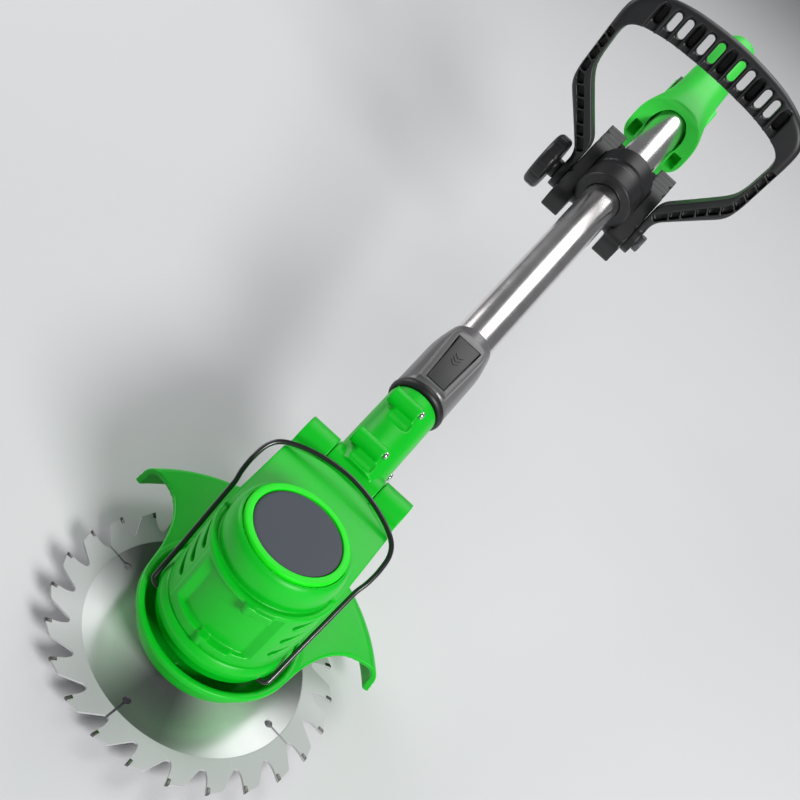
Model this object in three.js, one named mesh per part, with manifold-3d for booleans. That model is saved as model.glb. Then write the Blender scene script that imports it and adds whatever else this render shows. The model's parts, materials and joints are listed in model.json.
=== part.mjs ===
// Cordless lawn edger: a saw blade on a motor head, a telescopic pole, a clamp-on loop handle
// and a rear grip that carries the battery.
//
// Units are millimetres and +Z is up. The origin is the free end of the spindle, under the blade:
// the motor axis runs up +Z, the blade is horizontal, and the pole rises towards +Y.
// Head pieces are laid out from the middle of the blade, and pole pieces from the line of the
// pole, where local +Y runs along the pole and local +Z stands square to it.
import * as THREE from 'three';
import { mergeVertices } from 'three/addons/utils/BufferGeometryUtils.js';
import Module from 'manifold-3d';

const wasm = await Module();
wasm.setup();

// ---- Driving dimensions ----------------------------------------------------------------------
const GAP = 0.3; // air kept between neighbouring pieces
const ROUND = 32; // facets on a full turn of a large round shape
const SMALL_ROUND = 12; // facets on screws, pins and shafts

const SPINDLE_DROP = 9; // from the blade's mid-plane down to the spindle's end
const BLADE = { tipRadius: 75, teeth: 24, thickness: 1.4, bore: 10, firstTip: 39 };
const SPINDLE_RADIUS = 5;
const BARREL = { radius: 33.4, wall: 2.4, foot: 39, ledge: 80, domeRadius: 30, top: 97 };
const WINDOW = { floorRadius: 30.6, floorHalf: 16.5, cheekHalf: 21.6, low: 46, high: 77.5 };
const CAP = { ringRadius: 26.2, discRadius: 22.2, top: 98 };
const FLANGE_RADIUS = 42.4;
const GUARD = { plateRadius: 86, skirtRadius: 94, skirtFoot: 3.5, wall: 2.4 };
const HINGE = { y: 81.4, z: 72.4, radius: 11.5, inner: 15.6, outer: 33.2 };
const WIRE = { radius: 1.3, pivotY: -17, pivotZ: 31, height: 97.7, lean: 52.9 };

const POLE_TILT = 16.8; // degrees that the pole rises towards the rear
const POLE_HEIGHT = 47.8; // the pole's line above the blade where it passes the motor axis
const HINGE_S = 85; // the hinge's place along the pole
const NECK = { radius: 14.7, start: 84, end: 145 };
const TUBE = { outer: 12.5, wall: 1.2, start: 160, end: 566 };
const INNER_TUBE = { outer: 11, wall: 1.1, start: 112, end: 476 };
const COLLAR = { start: 137, mouthEnd: 150, end: 206, radius: 16.3 };
const GRIP = { front: 470, end: 660, wall: 2.5 };
const BATTERY = { halfWidth: 22, front: 479, rear: 560, top: -28.6, bottom: -70 };
const CLAMP = { s: 397, h: -20, ringRadius: 20, blockInner: 16, blockOuter: 29.4 };
const LOOP = { lean: 25, depth: 15, footInner: 29.8, footOuter: 35.4, crest: 136 };

const degrees = THREE.MathUtils.degToRad;

// ---- Materials -------------------------------------------------------------------------------
const finish = (color, roughness, metalness = 0) =>
  new THREE.MeshStandardMaterial({ color, roughness, metalness });
const green = () => finish(0x18b82c, 0.38);
const brightGreen = () => finish(0x14dc14, 0.35);
const slate = () => finish(0x434b55, 0.6);
const black = () => finish(0x1c1b1c, 0.6);
const gunmetal = () => finish(0x5a5658, 0.3, 0.5);
const chrome = () => finish(0xcfcfd2, 0.1, 1);
const steel = () => finish(0xc4c6c8, 0.3, 1);
const darkSteel = () => finish(0x55585c, 0.45, 1);
const copper = () => finish(0xb0703a, 0.4, 1);

// ---- Solids ----------------------------------------------------------------------------------
// Turns a closed three.js geometry into a manifold solid with its faces pointing out.
function solid(geometry) {
  geometry.deleteAttribute('normal');
  geometry.deleteAttribute('uv');
  const merged = mergeVertices(geometry, 1e-4);
  const position = merged.attributes.position.array;
  const index = merged.index.array;
  const triangles = [];
  let volume = 0;
  const [a, b, c] = [new THREE.Vector3(), new THREE.Vector3(), new THREE.Vector3()];
  for (let i = 0; i < index.length; i += 3) {
    const corners = [index[i], index[i + 1], index[i + 2]];
    if (new Set(corners).size < 3) continue;
    [a, b, c].forEach((v, k) => v.fromArray(position, 3 * corners[k]));
    volume += a.dot(b.cross(c));
    triangles.push(corners);
  }
  if (volume < 0) triangles.forEach((corners) => corners.reverse());
  const triVerts = Uint32Array.from(triangles.flat());
  return new wasm.Manifold(new wasm.Mesh({ numProp: 3, vertProperties: position, triVerts }));
}

const box = (x0, x1, y0, y1, z0, z1) =>
  solid(new THREE.BoxGeometry(x1 - x0, y1 - y0, z1 - z0)
    .translate((x0 + x1) / 2, (y0 + y1) / 2, (z0 + z1) / 2));

// A round bar between two stations of one axis ('x', 'y' or 'z'), at [u, v] on the other two.
function bar(axis, from, to, radius, [u, v] = [0, 0], facets = SMALL_ROUND) {
  const geometry = new THREE.CylinderGeometry(radius, radius, to - from, facets);
  const middle = (from + to) / 2;
  if (axis === 'x') return solid(geometry.rotateZ(Math.PI / 2).translate(middle, u, v));
  if (axis === 'y') return solid(geometry.translate(u, middle, v));
  return solid(geometry.rotateX(Math.PI / 2).translate(u, v, middle));
}

// A solid of revolution about +Z from a closed [radius, z] outline.
function turned(outline, facets = ROUND) {
  const points = [...outline, outline[0]].map(([r, z]) => new THREE.Vector2(r, z));
  return solid(new THREE.LatheGeometry(points, facets).rotateX(Math.PI / 2));
}

// The same about the pole's +Y, from a closed [radius, s] outline.
function turnedAlong(outline, facets = ROUND) {
  const points = [...outline, outline[0]].map(([r, s]) => new THREE.Vector2(r, s));
  return solid(new THREE.LatheGeometry(points, facets));
}

const ring = (inner, outer, z0, z1, facets) =>
  turned([[inner, z0], [outer, z0], [outer, z1], [inner, z1]], facets);
const pipe = (inner, outer, s0, s1, facets) =>
  turnedAlong([[inner, s0], [outer, s0], [outer, s1], [inner, s1]], facets);

// Extrudes a shape up its own normal, after dropping outline points that fall on one another.
function extruded(shape, depth, curveSegments) {
  const near = 0.02;
  const points = shape.getPoints(curveSegments);
  const kept = points.filter((p, i) => p.distanceTo(points[(i + 1) % points.length]) > near);
  return new THREE.ExtrudeGeometry(new THREE.Shape(kept), { depth, bevelEnabled: false });
}

// Extrudes a shape drawn in X and Y up +Z.
const slab = (shape, z0, z1, curveSegments = 12) =>
  solid(extruded(shape, z1 - z0, curveSegments).translate(0, 0, z0));

// Extrudes a shape drawn in Y and Z along +X.
function sidePlate(shape, x0, x1, curveSegments = 12) {
  const turn = new THREE.Matrix4().makeBasis(
    new THREE.Vector3(0, 1, 0), new THREE.Vector3(0, 0, 1), new THREE.Vector3(1, 0, 0));
  return solid(extruded(shape, x1 - x0, curveSegments).applyMatrix4(turn).translate(x0, 0, 0));
}

// Extrudes a shape drawn in X and Z along +Y, half its depth to either side of y = 0.
function facePlate(shape, depth, curveSegments = 12) {
  const turn = new THREE.Matrix4().makeBasis(
    new THREE.Vector3(1, 0, 0), new THREE.Vector3(0, 0, 1), new THREE.Vector3(0, -1, 0));
  return solid(extruded(shape, depth, curveSegments).applyMatrix4(turn)
    .translate(0, depth / 2, 0));
}

function polygon(points) {
  const shape = new THREE.Shape();
  points.forEach(([x, y], i) => (i ? shape.lineTo(x, y) : shape.moveTo(x, y)));
  shape.closePath();
  return shape;
}

function roundedRectangle(x0, x1, y0, y1, r) {
  const shape = new THREE.Shape();
  shape.moveTo(x0 + r, y0);
  shape.lineTo(x1 - r, y0);
  shape.absarc(x1 - r, y0 + r, r, -Math.PI / 2, 0);
  shape.absarc(x1 - r, y1 - r, r, 0, Math.PI / 2);
  shape.absarc(x0 + r, y1 - r, r, Math.PI / 2, Math.PI);
  shape.absarc(x0 + r, y0 + r, r, Math.PI, 1.5 * Math.PI);
  return shape;
}

function disc(x, y, radius) {
  const shape = new THREE.Shape();
  shape.absarc(x, y, radius, 0, 2 * Math.PI);
  return shape;
}

// Skins a row of sections along +Y. Each section gives half its width, its top and its bottom,
// and how square its corners are (2 is an ellipse).
function loft(sections, facets = 20) {
  const position = [];
  const index = [];
  const bend = (t, square) => Math.sign(t) * Math.abs(t) ** (2 / square);
  sections.forEach(({ s, width, top, bottom, square }) => {
    for (let i = 0; i < facets; i += 1) {
      const angle = (2 * Math.PI * i) / facets;
      const x = width * bend(Math.cos(angle), square);
      const z = (top + bottom) / 2 + ((top - bottom) / 2) * bend(Math.sin(angle), square);
      position.push(x, s, z);
    }
  });
  const link = (row, i) => row * facets + (i % facets);
  for (let row = 0; row < sections.length - 1; row += 1) {
    for (let i = 0; i < facets; i += 1) {
      index.push(link(row, i), link(row + 1, i), link(row + 1, i + 1));
      index.push(link(row, i), link(row + 1, i + 1), link(row, i + 1));
    }
  }
  [sections[0], sections.at(-1)].forEach((section, atEnd) => {
    const centre = position.length / 3;
    position.push(0, section.s, (section.top + section.bottom) / 2);
    const row = atEnd ? sections.length - 1 : 0;
    for (let i = 0; i < facets; i += 1) {
      const [from, to] = atEnd ? [i + 1, i] : [i, i + 1];
      index.push(centre, link(row, from), link(row, to));
    }
  });
  const geometry = new THREE.BufferGeometry();
  geometry.setAttribute('position', new THREE.Float32BufferAttribute(position, 3));
  geometry.setIndex(index);
  return solid(geometry);
}

const union = (first, ...rest) => rest.reduce((whole, piece) => whole.add(piece), first);
const without = (first, ...cuts) => cuts.reduce((whole, cut) => whole.subtract(cut), first);

// Keeps one side of the plane x = 0, half a gap away from it.
const LARGE = 1000;
const leftHalf = (piece) => piece.intersect(box(-LARGE, -GAP / 2, -LARGE, LARGE, -LARGE, LARGE));
const rightHalf = (piece) => piece.intersect(box(GAP / 2, LARGE, -LARGE, LARGE, -LARGE, LARGE));

function addMesh(group, name, piece, material) {
  const { vertProperties, triVerts } = piece.getMesh();
  const geometry = new THREE.BufferGeometry();
  geometry.setAttribute('position', new THREE.Float32BufferAttribute(vertProperties, 3));
  geometry.setIndex(Array.from(triVerts));
  geometry.computeVertexNormals();
  const mesh = new THREE.Mesh(geometry, material);
  mesh.name = name;
  group.add(mesh);
  return mesh;
}

// A pan-head screw along an axis: the head ends at `seat`, and the shank runs the other way.
function screw(axis, seat, length, place, { head = 3.1, shank = 1.5, direction = 1 } = {}) {
  const tall = 2;
  const headFrom = direction > 0 ? seat - tall : seat;
  const shankFrom = direction > 0 ? seat - tall - length : seat + tall - 0.1;
  return union(
    bar(axis, headFrom, headFrom + tall, head, place, 12),
    bar(axis, shankFrom, shankFrom + length + 0.1, shank, place, 6));
}

// ---- Saw blade and spindle -------------------------------------------------------------------
// One tooth, counter-clockwise from its tip: the land, the back, the gullet and the next face.
function bladeOutline() {
  const { tipRadius, teeth, firstTip } = BLADE;
  const pitch = 360 / teeth;
  const at = (radius, angle) => [radius * Math.cos(degrees(angle)), radius * Math.sin(degrees(angle))];
  const shape = new THREE.Shape();
  shape.moveTo(...at(tipRadius, firstTip));
  for (let tooth = 0; tooth < teeth; tooth += 1) {
    const tip = firstTip + tooth * pitch;
    shape.lineTo(...at(tipRadius - 1.8, tip + 6.6));
    shape.lineTo(...at(65.6, tip + 11.6));
    shape.bezierCurveTo(...at(63.2, tip + 12.9), ...at(63.2, tip + 16.6), ...at(67.5, tip + 16));
    shape.lineTo(...at(tipRadius, tip + pitch));
  }
  return shape;
}

// Four keyhole slots let the rim grow as it heats.
function expansionSlots() {
  const slots = [];
  for (let quarter = 0; quarter < 4; quarter += 1) {
    const angle = degrees(-7.2 - 90 * quarter);
    const slot = new THREE.BoxGeometry(16, 1.2, 4).translate(58, 0, 0).rotateZ(angle);
    const hole = new THREE.CylinderGeometry(2.1, 2.1, 4, 10).rotateX(Math.PI / 2)
      .translate(50.5, 0, 0).rotateZ(angle);
    slots.push(solid(slot), solid(hole));
  }
  return slots;
}

function sawBlade() {
  const half = BLADE.thickness / 2;
  const plate = slab(bladeOutline(), -half, half, 3);
  return without(plate, bar('z', -2, 2, BLADE.bore, [0, 0], 24), ...expansionSlots());
}

function arborNut() {
  const hexagon = solid(new THREE.CylinderGeometry(8.4, 8.4, 4.6, 6).rotateX(Math.PI / 2)
    .translate(0, 0, -6));
  return without(hexagon, bar('z', -9, -3, SPINDLE_RADIUS + GAP));
}

function buildBlade(group) {
  const end = -SPINDLE_DROP;
  const spindle = turned([[0, end], [4.4, end], [SPINDLE_RADIUS, end + 0.6],
    [SPINDLE_RADIUS, 88], [4.4, 88.6], [0, 88.6]], SMALL_ROUND);
  const bore = SPINDLE_RADIUS + GAP;
  const outerFlange = turned([[bore, -3.4], [12, -3.4], [18, -2], [18, -1.05], [bore, -1.05]], 20);
  const innerFlange = turned([[bore, -0.6], [BLADE.bore - GAP, -0.6], [BLADE.bore - GAP, 1.05],
    [19, 1.05], [19, 2.6], [11, 5.4], [bore, 5.4]], 20);
  addMesh(group, 'spindle', spindle, darkSteel());
  addMesh(group, 'saw_blade', sawBlade(), steel());
  addMesh(group, 'inner_flange', innerFlange, darkSteel());
  addMesh(group, 'outer_flange', outerFlange, darkSteel());
  addMesh(group, 'arbor_nut', arborNut(), chrome());
  addMesh(group, 'rotor_core', ring(bore, 16.5, 42, 68, 16), darkSteel());
  addMesh(group, 'rotor_winding', ring(bore, 14.5, 68.4, 73, 16), copper());
  addMesh(group, 'commutator', ring(bore, 8.6, 33.6, 41.4, 12), copper());
}

// ---- Motor -----------------------------------------------------------------------------------
function stator(side) {
  const magnets = ring(17.6, 21.4, 43, 68, 24);
  const reach = side > 0 ? [6, 30] : [-30, -6];
  return magnets.intersect(box(...reach, -30, 30, 40, 70));
}

function buildMotor(group) {
  const can = turned([[7.2, 82.4], [7.2, 80.8], [21.9, 80.8], [21.9, 34.4], [24, 34.4],
    [24, 82.4]], 24);
  const endBell = turned([[11.4, 28.2], [24, 28.2], [24, 34], [21.2, 34], [21.2, 31],
    [11.4, 31]], 24);
  addMesh(group, 'motor_can', can, steel());
  addMesh(group, 'motor_end_bell', endBell, black());
  addMesh(group, 'stator_magnet_left', stator(-1), darkSteel());
  addMesh(group, 'stator_magnet_right', stator(1), darkSteel());
  addMesh(group, 'lower_bearing', ring(SPINDLE_RADIUS + GAP, 11, 24.2, 30.8, 16), chrome());
  addMesh(group, 'upper_bearing', ring(SPINDLE_RADIUS + GAP, 10, 82.8, 88, 16), chrome());
}

// ---- Motor head ------------------------------------------------------------------------------
function barrelSkin() {
  const { radius, foot, ledge, domeRadius, top } = BARREL;
  const shoulder = [];
  for (let i = 0; i <= 3; i += 1) {
    const angle = degrees(30 * i);
    shoulder.push([CAP.ringRadius + 0.4 + 3.4 * Math.cos(angle), 88 + 8 * Math.sin(angle)]);
  }
  return turned([[0, foot], [radius, foot], [radius, ledge], [radius - 1.6, ledge + 1.6],
    [domeRadius + 0.6, ledge + 2.4], [domeRadius, ledge + 4], ...shoulder,
    [CAP.ringRadius + 0.3, top], [0, top]]);
}

// The hollow is open below, and its roof is open under the cap ring.
function barrelHollow() {
  const inner = BARREL.radius - BARREL.wall;
  const dome = BARREL.domeRadius - BARREL.wall;
  const chamber = turned([[0, BARREL.foot - 1], [inner, BARREL.foot - 1], [inner, 77], [dome, 80],
    [dome, 90], [0, 90]], 24);
  return union(chamber.subtract(windowPad()), bar('z', 89, 100, CAP.ringRadius - 3.4, [0, 0], ROUND));
}

// A seat under the roof opening for the cap ring.
const capSeat = () => ring(CAP.discRadius, CAP.ringRadius + GAP, 94, 99);

// The rear yoke reaches back from the barrel and ends in a shallow arc, seen from above.
function yoke() {
  const half = HINGE.outer;
  const plan = new THREE.Shape();
  plan.moveTo(-half, 0);
  plan.lineTo(half, 0);
  plan.lineTo(half, 49);
  plan.quadraticCurveTo(0, 69, -half, 49);
  const side = new THREE.Shape();
  side.moveTo(0, 46);
  side.lineTo(0, 82);
  side.lineTo(52, 83.5);
  side.quadraticCurveTo(60, 83.5, 61, 78);
  side.lineTo(61, 60);
  side.quadraticCurveTo(44, 58, 34, 46);
  return slab(plan, 40, 90, 16).intersect(sidePlate(side, -half, half));
}

// Two arms, lower than the yoke, carry the hinge knuckles either side of the neck's eye.
function hingeArms() {
  const { y, z, radius, inner, outer } = HINGE;
  const arms = [];
  for (const side of [-1, 1]) {
    const [from, to] = side > 0 ? [inner, outer] : [-outer, -inner];
    const reach = polygon([[44, z - radius + 1], [y, z - radius + 0.05], [y, z + 4], [44, z + 4]]);
    arms.push(sidePlate(reach, from, to));
    arms.push(sidePlate(disc(y, z, radius), from, to, 24));
  }
  return union(...arms);
}

// The front window is a pocket with flat cheeks either side of a round floor.
function frontWindow() {
  const { floorRadius, floorHalf, cheekHalf, low, high } = WINDOW;
  const floorEdge = -Math.sqrt(floorRadius ** 2 - floorHalf ** 2);
  const cheekEdge = -Math.sqrt(BARREL.radius ** 2 - cheekHalf ** 2);
  const front = -40;
  const plan = polygon([[-cheekHalf, cheekEdge], [-floorHalf, floorEdge], [-floorHalf, -20],
    [floorHalf, -20], [floorHalf, floorEdge], [cheekHalf, cheekEdge], [cheekHalf, front],
    [-cheekHalf, front]]);
  return without(slab(plan, low, high), bar('z', low - 5, high + 5, floorRadius, [0, 0], ROUND));
}

// The wall is thicker inside, behind the window.
const windowPad = () => box(-24, 24, -40, -25.2, BARREL.foot - 2, 79.5);

// A latch tab stands out of the wall above the window, and another below it.
function latchTabs() {
  const reach = ring(30.5, BARREL.radius + 1.6, 30, 90, ROUND);
  return [box(4, 17, -40, -20, 75.6, 79.6), box(-2, 13, -40, -20, 42.4, 46.4)]
    .map((tab) => tab.intersect(reach));
}

// Three slanted air slots on each side of the barrel, rising towards the rear.
function airSlots() {
  const slots = [];
  const rise = degrees(24);
  const lie = new THREE.Matrix4().makeBasis(
    new THREE.Vector3(0, Math.cos(rise), Math.sin(rise)),
    new THREE.Vector3(0, -Math.sin(rise), Math.cos(rise)),
    new THREE.Vector3(1, 0, 0));
  for (const side of [-1, 1]) {
    for (const height of [75.5, 64.5, 53.5]) {
      const slot = extruded(roundedRectangle(-7, 7, -1.7, 1.7, 1.69), 14, 2)
        .applyMatrix4(lie).translate(BARREL.radius - 8, 0, 0).rotateZ(degrees(-28));
      if (side < 0) slot.scale(-1, 1, 1);
      slots.push(solid(slot.translate(0, 0, height)));
    }
  }
  return slots;
}

function motorHousing() {
  const { y, z } = HINGE;
  const underYoke = box(-29, 29, 37, 52, 40, 79);
  const walls = without(union(barrelSkin(), yoke(), hingeArms()),
    barrelHollow(), capSeat(), frontWindow(), underYoke, ...airSlots());
  const body = union(walls, ...latchTabs());
  const neckRoom = bar('x', -HINGE.inner, HINGE.inner, 15.5, [y, z], 20);
  const pinHole = bar('x', -50, 50, 4 + GAP, [y, z]);
  return without(body, neckRoom, pinHole);
}

// The base closes the barrel, holds the lower bearing and takes the wire guard's pivots.
function motorBase() {
  const { pivotY, pivotZ, radius } = WIRE;
  const outline = [[11.3, 24.3], [33, 24.3], [33, 29.5], [35.4, 31], [35.4, 35.4], [33.4, 38.4],
    [31, 38.4], [31, 27.6], [11.3, 27.6]];
  const pivotHole = bar('x', -60, 60, radius + GAP, [pivotY, pivotZ], 16);
  return without(turned(outline), pivotHole);
}

// One turned skin: the bowl under the motor, its rim, the sloping plate and the rolled skirt.
function guardSkin() {
  const { plateRadius, skirtRadius, skirtFoot, wall } = GUARD;
  const slope = (radius) => 26.4 - 0.118 * (radius - FLANGE_RADIUS);
  const roll = [];
  const underRoll = [];
  for (let i = 0; i <= 2; i += 1) {
    const angle = degrees(15 + 35 * i);
    const [c, s] = [Math.cos(angle), Math.sin(angle)];
    const centre = { r: plateRadius - 2, z: slope(plateRadius) - 9.6 };
    roll.unshift([centre.r + 9 * c, centre.z + 9.2 * s]);
    underRoll.push([centre.r + (9 - wall) * c, centre.z + (9.2 - wall) * s]);
  }
  return turned([[20, 8], [33, 8], [37.5, 13], [FLANGE_RADIUS - 2.4, 22.6],
    [FLANGE_RADIUS + 1, slope(FLANGE_RADIUS + 1) - wall],
    ...underRoll.reverse(), [skirtRadius - wall, skirtFoot], [skirtRadius, skirtFoot],
    ...roll.reverse(), [FLANGE_RADIUS + 0.6, slope(FLANGE_RADIUS)], [FLANGE_RADIUS, 27.5],
    [FLANGE_RADIUS - 3, 27.5], [FLANGE_RADIUS - 4.4, 23.9], [35.2, 15], [32, 10.6], [20, 10.6]],
  40);
}

// Seen from above the guard is the round bowl and a fan behind it, with swept front edges.
function guardPlan() {
  const reach = 99;
  const plan = new THREE.Shape();
  plan.moveTo(-42.2, -5);
  plan.absarc(0, 0, FLANGE_RADIUS + 0.1, degrees(187), degrees(353));
  plan.splineThru([[45, 12], [50.5, 28], [59, 40.5], [70, 46.5], [83, 49]]
    .map(([x, y]) => new THREE.Vector2(x, y)));
  plan.absarc(0, 0, reach, degrees(30.2), degrees(149.8));
  plan.splineThru([[-70, 46.5], [-59, 40.5], [-50.5, 28], [-45, 12], [-42.2, -5]]
    .map(([x, y]) => new THREE.Vector2(x, y)));
  return plan;
}

function bladeGuard() {
  const skin = guardSkin().intersect(slab(guardPlan(), 0, 40, 5));
  const screwHoles = around(3, 30, 26.5).map(([x, y]) => bar('z', 0, 24, 1.9, [x, y], 8));
  return without(skin, ...screwHoles);
}

// Places spread evenly on a circle about the motor axis.
function around(count, startAngle, radius) {
  return Array.from({ length: count }, (_, i) => {
    const angle = degrees(startAngle + (360 * i) / count);
    return [radius * Math.cos(angle), radius * Math.sin(angle)];
  });
}

function buildHead(group) {
  const ringOutline = [[CAP.discRadius + GAP, 94.4], [CAP.ringRadius, 94.4],
    [CAP.ringRadius, CAP.top - 1], [CAP.ringRadius - 1, CAP.top], [CAP.discRadius + GAP, CAP.top]];
  addMesh(group, 'motor_housing', motorHousing(), green());
  addMesh(group, 'cap_ring', turned(ringOutline), brightGreen());
  addMesh(group, 'cap_disc', bar('z', 93.4, CAP.top - 0.4, CAP.discRadius, [0, 0], ROUND), slate());
  addMesh(group, 'motor_base', motorBase(), green());
  addMesh(group, 'blade_guard', bladeGuard(), green());
  around(3, 30, 26.5).forEach((place, i) => {
    const fastener = screw('z', 5.6, 16, place, { direction: -1 });
    addMesh(group, `guard_screw_${i + 1}`, fastener, chrome());
  });
}

// ---- Wire guard ------------------------------------------------------------------------------
// Half of the bail in its own plane: out of the pivot, up the side, round the corner to the top.
function wireHalf(side) {
  return [[27, 0], [31.5, 0], [34.3, 1.2], [35.2, 4.5], [36, 22], [37.2, 42], [38.2, 58], [39.6, 63],
    [40, 74], [39, 82], [35, 88], [26, 92.8], [14, 96.2]]
    .map(([x, w]) => new THREE.Vector3(side * x, 0, w));
}

function wireGuard() {
  const left = wireHalf(-1);
  const right = wireHalf(1).reverse();
  const route = [...left, new THREE.Vector3(0, 0, WIRE.height), ...right];
  const path = new THREE.CatmullRomCurve3(route, false, 'centripetal');
  const section = disc(0, 0, WIRE.radius);
  const options = { steps: 44, bevelEnabled: false, extrudePath: path, curveSegments: 4 };
  const wire = new THREE.ExtrudeGeometry(section, options).rotateX(degrees(-WIRE.lean));
  return solid(wire.translate(0, WIRE.pivotY, WIRE.pivotZ));
}

// ---- Lower pole ------------------------------------------------------------------------------
const NECK_SCREWS = [98, 132];
const BOSS = { radius: 5, height: 14.6, left: -13, right: 5, screwHeight: 16.6 };

function neckBody() {
  const { radius, start, end } = NECK;
  const barrel = turnedAlong([[0, start], [radius, start], [radius, end - 1], [radius - 1, end],
    [0, end]], 28);
  const eye = bar('x', -HINGE.inner + GAP, HINGE.inner - GAP, HINGE.radius - 0.4,
    [HINGE_S, 0], 24);
  const bosses = NECK_SCREWS.map((s) =>
    bar('x', BOSS.left, BOSS.right, BOSS.radius, [s, BOSS.height], 20));
  const scoops = NECK_SCREWS.map((s) =>
    bar('x', BOSS.left, BOSS.right + 1, 6, [s - 7, BOSS.height + 3.9], 20));
  return union(without(union(barrel, eye), ...scoops), ...bosses);
}

function neckHollow() {
  const socket = bar('y', INNER_TUBE.start - 1, NECK.end + 1, INNER_TUBE.outer + GAP, [0, 0], 20);
  const pin = bar('x', -30, 30, 4 + GAP, [HINGE_S, 0]);
  const screwHoles = NECK_SCREWS.map((s) =>
    bar('x', BOSS.left + 2, BOSS.right + 1, 1.5 + GAP, [s, BOSS.screwHeight], 12));
  const sideHole = bar('x', -9, 20, 1.5 + GAP, [107, -7.5], 12);
  return union(socket, pin, sideHole, ...screwHoles);
}

function buildLowerPole(group) {
  const neck = neckBody().subtract(neckHollow());
  addMesh(group, 'neck_left', leftHalf(neck), green());
  addMesh(group, 'neck_right', rightHalf(neck), green());
  NECK_SCREWS.forEach((s, i) => {
    const fastener = screw('x', BOSS.right + 2.3, 14, [s, BOSS.screwHeight], { head: 2.4 });
    addMesh(group, `neck_screw_${i + 1}`, fastener, chrome());
  });
  addMesh(group, 'neck_screw_3', screw('x', 16.4, 22, [107, -7.5], { head: 2.6 }), chrome());
  const { outer, wall, start, end } = INNER_TUBE;
  addMesh(group, 'inner_tube', pipe(outer - wall, outer, start, end, 20), steel());
  addMesh(group, 'hinge_pin', hingePin(), chrome());
}

// A shouldered pin through both knuckles and the neck's eye.
function hingePin() {
  const shank = bar('x', -HINGE.outer, HINGE.outer, 4, [HINGE_S, 0]);
  const head = bar('x', -HINGE.outer - 2, -HINGE.outer - GAP, 6.4, [HINGE_S, 0]);
  const washer = bar('x', HINGE.outer + GAP, HINGE.outer + 1.6, 6.4, [HINGE_S, 0]);
  const stub = bar('x', -HINGE.outer - 1, HINGE.outer + 1, 4, [HINGE_S, 0]);
  return union(shank, head, washer, stub);
}

// ---- Pole and collar -------------------------------------------------------------------------
const BUTTON = { front: 154, rear: 190, low: 14.6, top: 18.4 };
const POCKET_FLOOR = 11;

function collarBody() {
  const { mouthEnd, end, radius } = COLLAR;
  const bore = TUBE.outer + GAP;
  const skin = turnedAlong([[bore, mouthEnd + GAP], [radius - 0.4, mouthEnd + GAP],
    [radius, mouthEnd + 2], [radius, 189], [13.9, end - 2], [13.4, end], [bore, end]], 28);
  const deck = loft([
    { s: mouthEnd + 2, width: 9.8, top: 17.6, bottom: 8, square: 6 },
    { s: 186, width: 11.2, top: 18.2, bottom: 8, square: 6 },
    { s: 196, width: 10.4, top: 15.4, bottom: 8, square: 6 }]);
  const bored = union(skin, deck).subtract(bar('y', 140, 210, bore, [0, 0], 24));
  return bored.subtract(collarButtonShape(GAP, POCKET_FLOOR, LARGE));
}

// The button widens towards the rear; `air` grows it into the pocket that it sits in.
function collarButtonShape(air, low, top) {
  const { front, rear } = BUTTON;
  const plan = polygon([[-5.6 - air, front - air], [5.6 + air, front - air],
    [7.4 + air, rear + air], [-7.4 - air, rear + air]]);
  return slab(plan, low, top);
}

function buildPole(group) {
  const { outer, wall, start, end } = TUBE;
  const { start: mouth, mouthEnd, radius } = COLLAR;
  const sealRing = turnedAlong([[15.2, mouth], [radius - 0.6, mouth], [radius + 0.2, mouth + 2],
    [radius + 0.2, mouthEnd - 1], [radius - 0.4, mouthEnd], [15.2, mouthEnd]], 28);
  addMesh(group, 'outer_tube', pipe(outer - wall, outer, start, end, 28), chrome());
  addMesh(group, 'collar_ring', sealRing, black());
  addMesh(group, 'collar_body', collarBody(), gunmetal());
}

function buildCollarButton(group) {
  addMesh(group, 'collar_button', collarButtonShape(0, BUTTON.low, BUTTON.top), black());
}

// ---- Rear handle -----------------------------------------------------------------------------
const gripSections = (shrink) => [
  { s: GRIP.front, width: 25.3, top: 17.2, bottom: -24, square: 2.8 },
  { s: 486, width: 24.8, top: 17.4, bottom: -24.4, square: 2.8 },
  { s: 500, width: 22.2, top: 17.4, bottom: -25, square: 2.7 },
  { s: 515, width: 19.4, top: 17, bottom: -25.6, square: 2.5 },
  { s: 530, width: 17.8, top: 16.4, bottom: -26, square: 2.4 },
  { s: 550, width: 17, top: 15.8, bottom: -26, square: 2.3 },
  { s: 570, width: 16.6, top: 14.6, bottom: -25.4, square: 2.2 },
  { s: 590, width: 15.8, top: 11.6, bottom: -25, square: 2.2 },
  { s: 610, width: 15.2, top: 8, bottom: -25.6, square: 2.2 },
  { s: 630, width: 14.8, top: 4.6, bottom: -26.6, square: 2.2 },
  { s: 644, width: 13.8, top: 1.6, bottom: -26.4, square: 2.2 },
  { s: 652, width: 11.4, top: -1.6, bottom: -24.2, square: 2.2 },
  { s: 657, width: 8.2, top: -5, bottom: -21.2, square: 2.1 },
  { s: GRIP.end, width: 4, top: -9, bottom: -17, square: 2 },
].map(({ s, width, top, bottom, square }) => (
  { s, width: width - shrink, top: top - shrink, bottom: bottom + shrink, square }));

// Keeps the stretch of the hollow grip between two stations along the pole.
const gripHollow = (from, to) =>
  loft(gripSections(GRIP.wall)).intersect(box(-40, 40, from, to, -60, 40));

const TRIGGER = { s: 572, h: -21, front: 570, rear: 604, halfWidth: 5.6 };
const LOCK = { s: 541, h: -3, outer: -19.6, inner: -15.2 };
const HANDLE_SCREWS = [[499, -17.5], [561, -17.5], [636, -11]];

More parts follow.
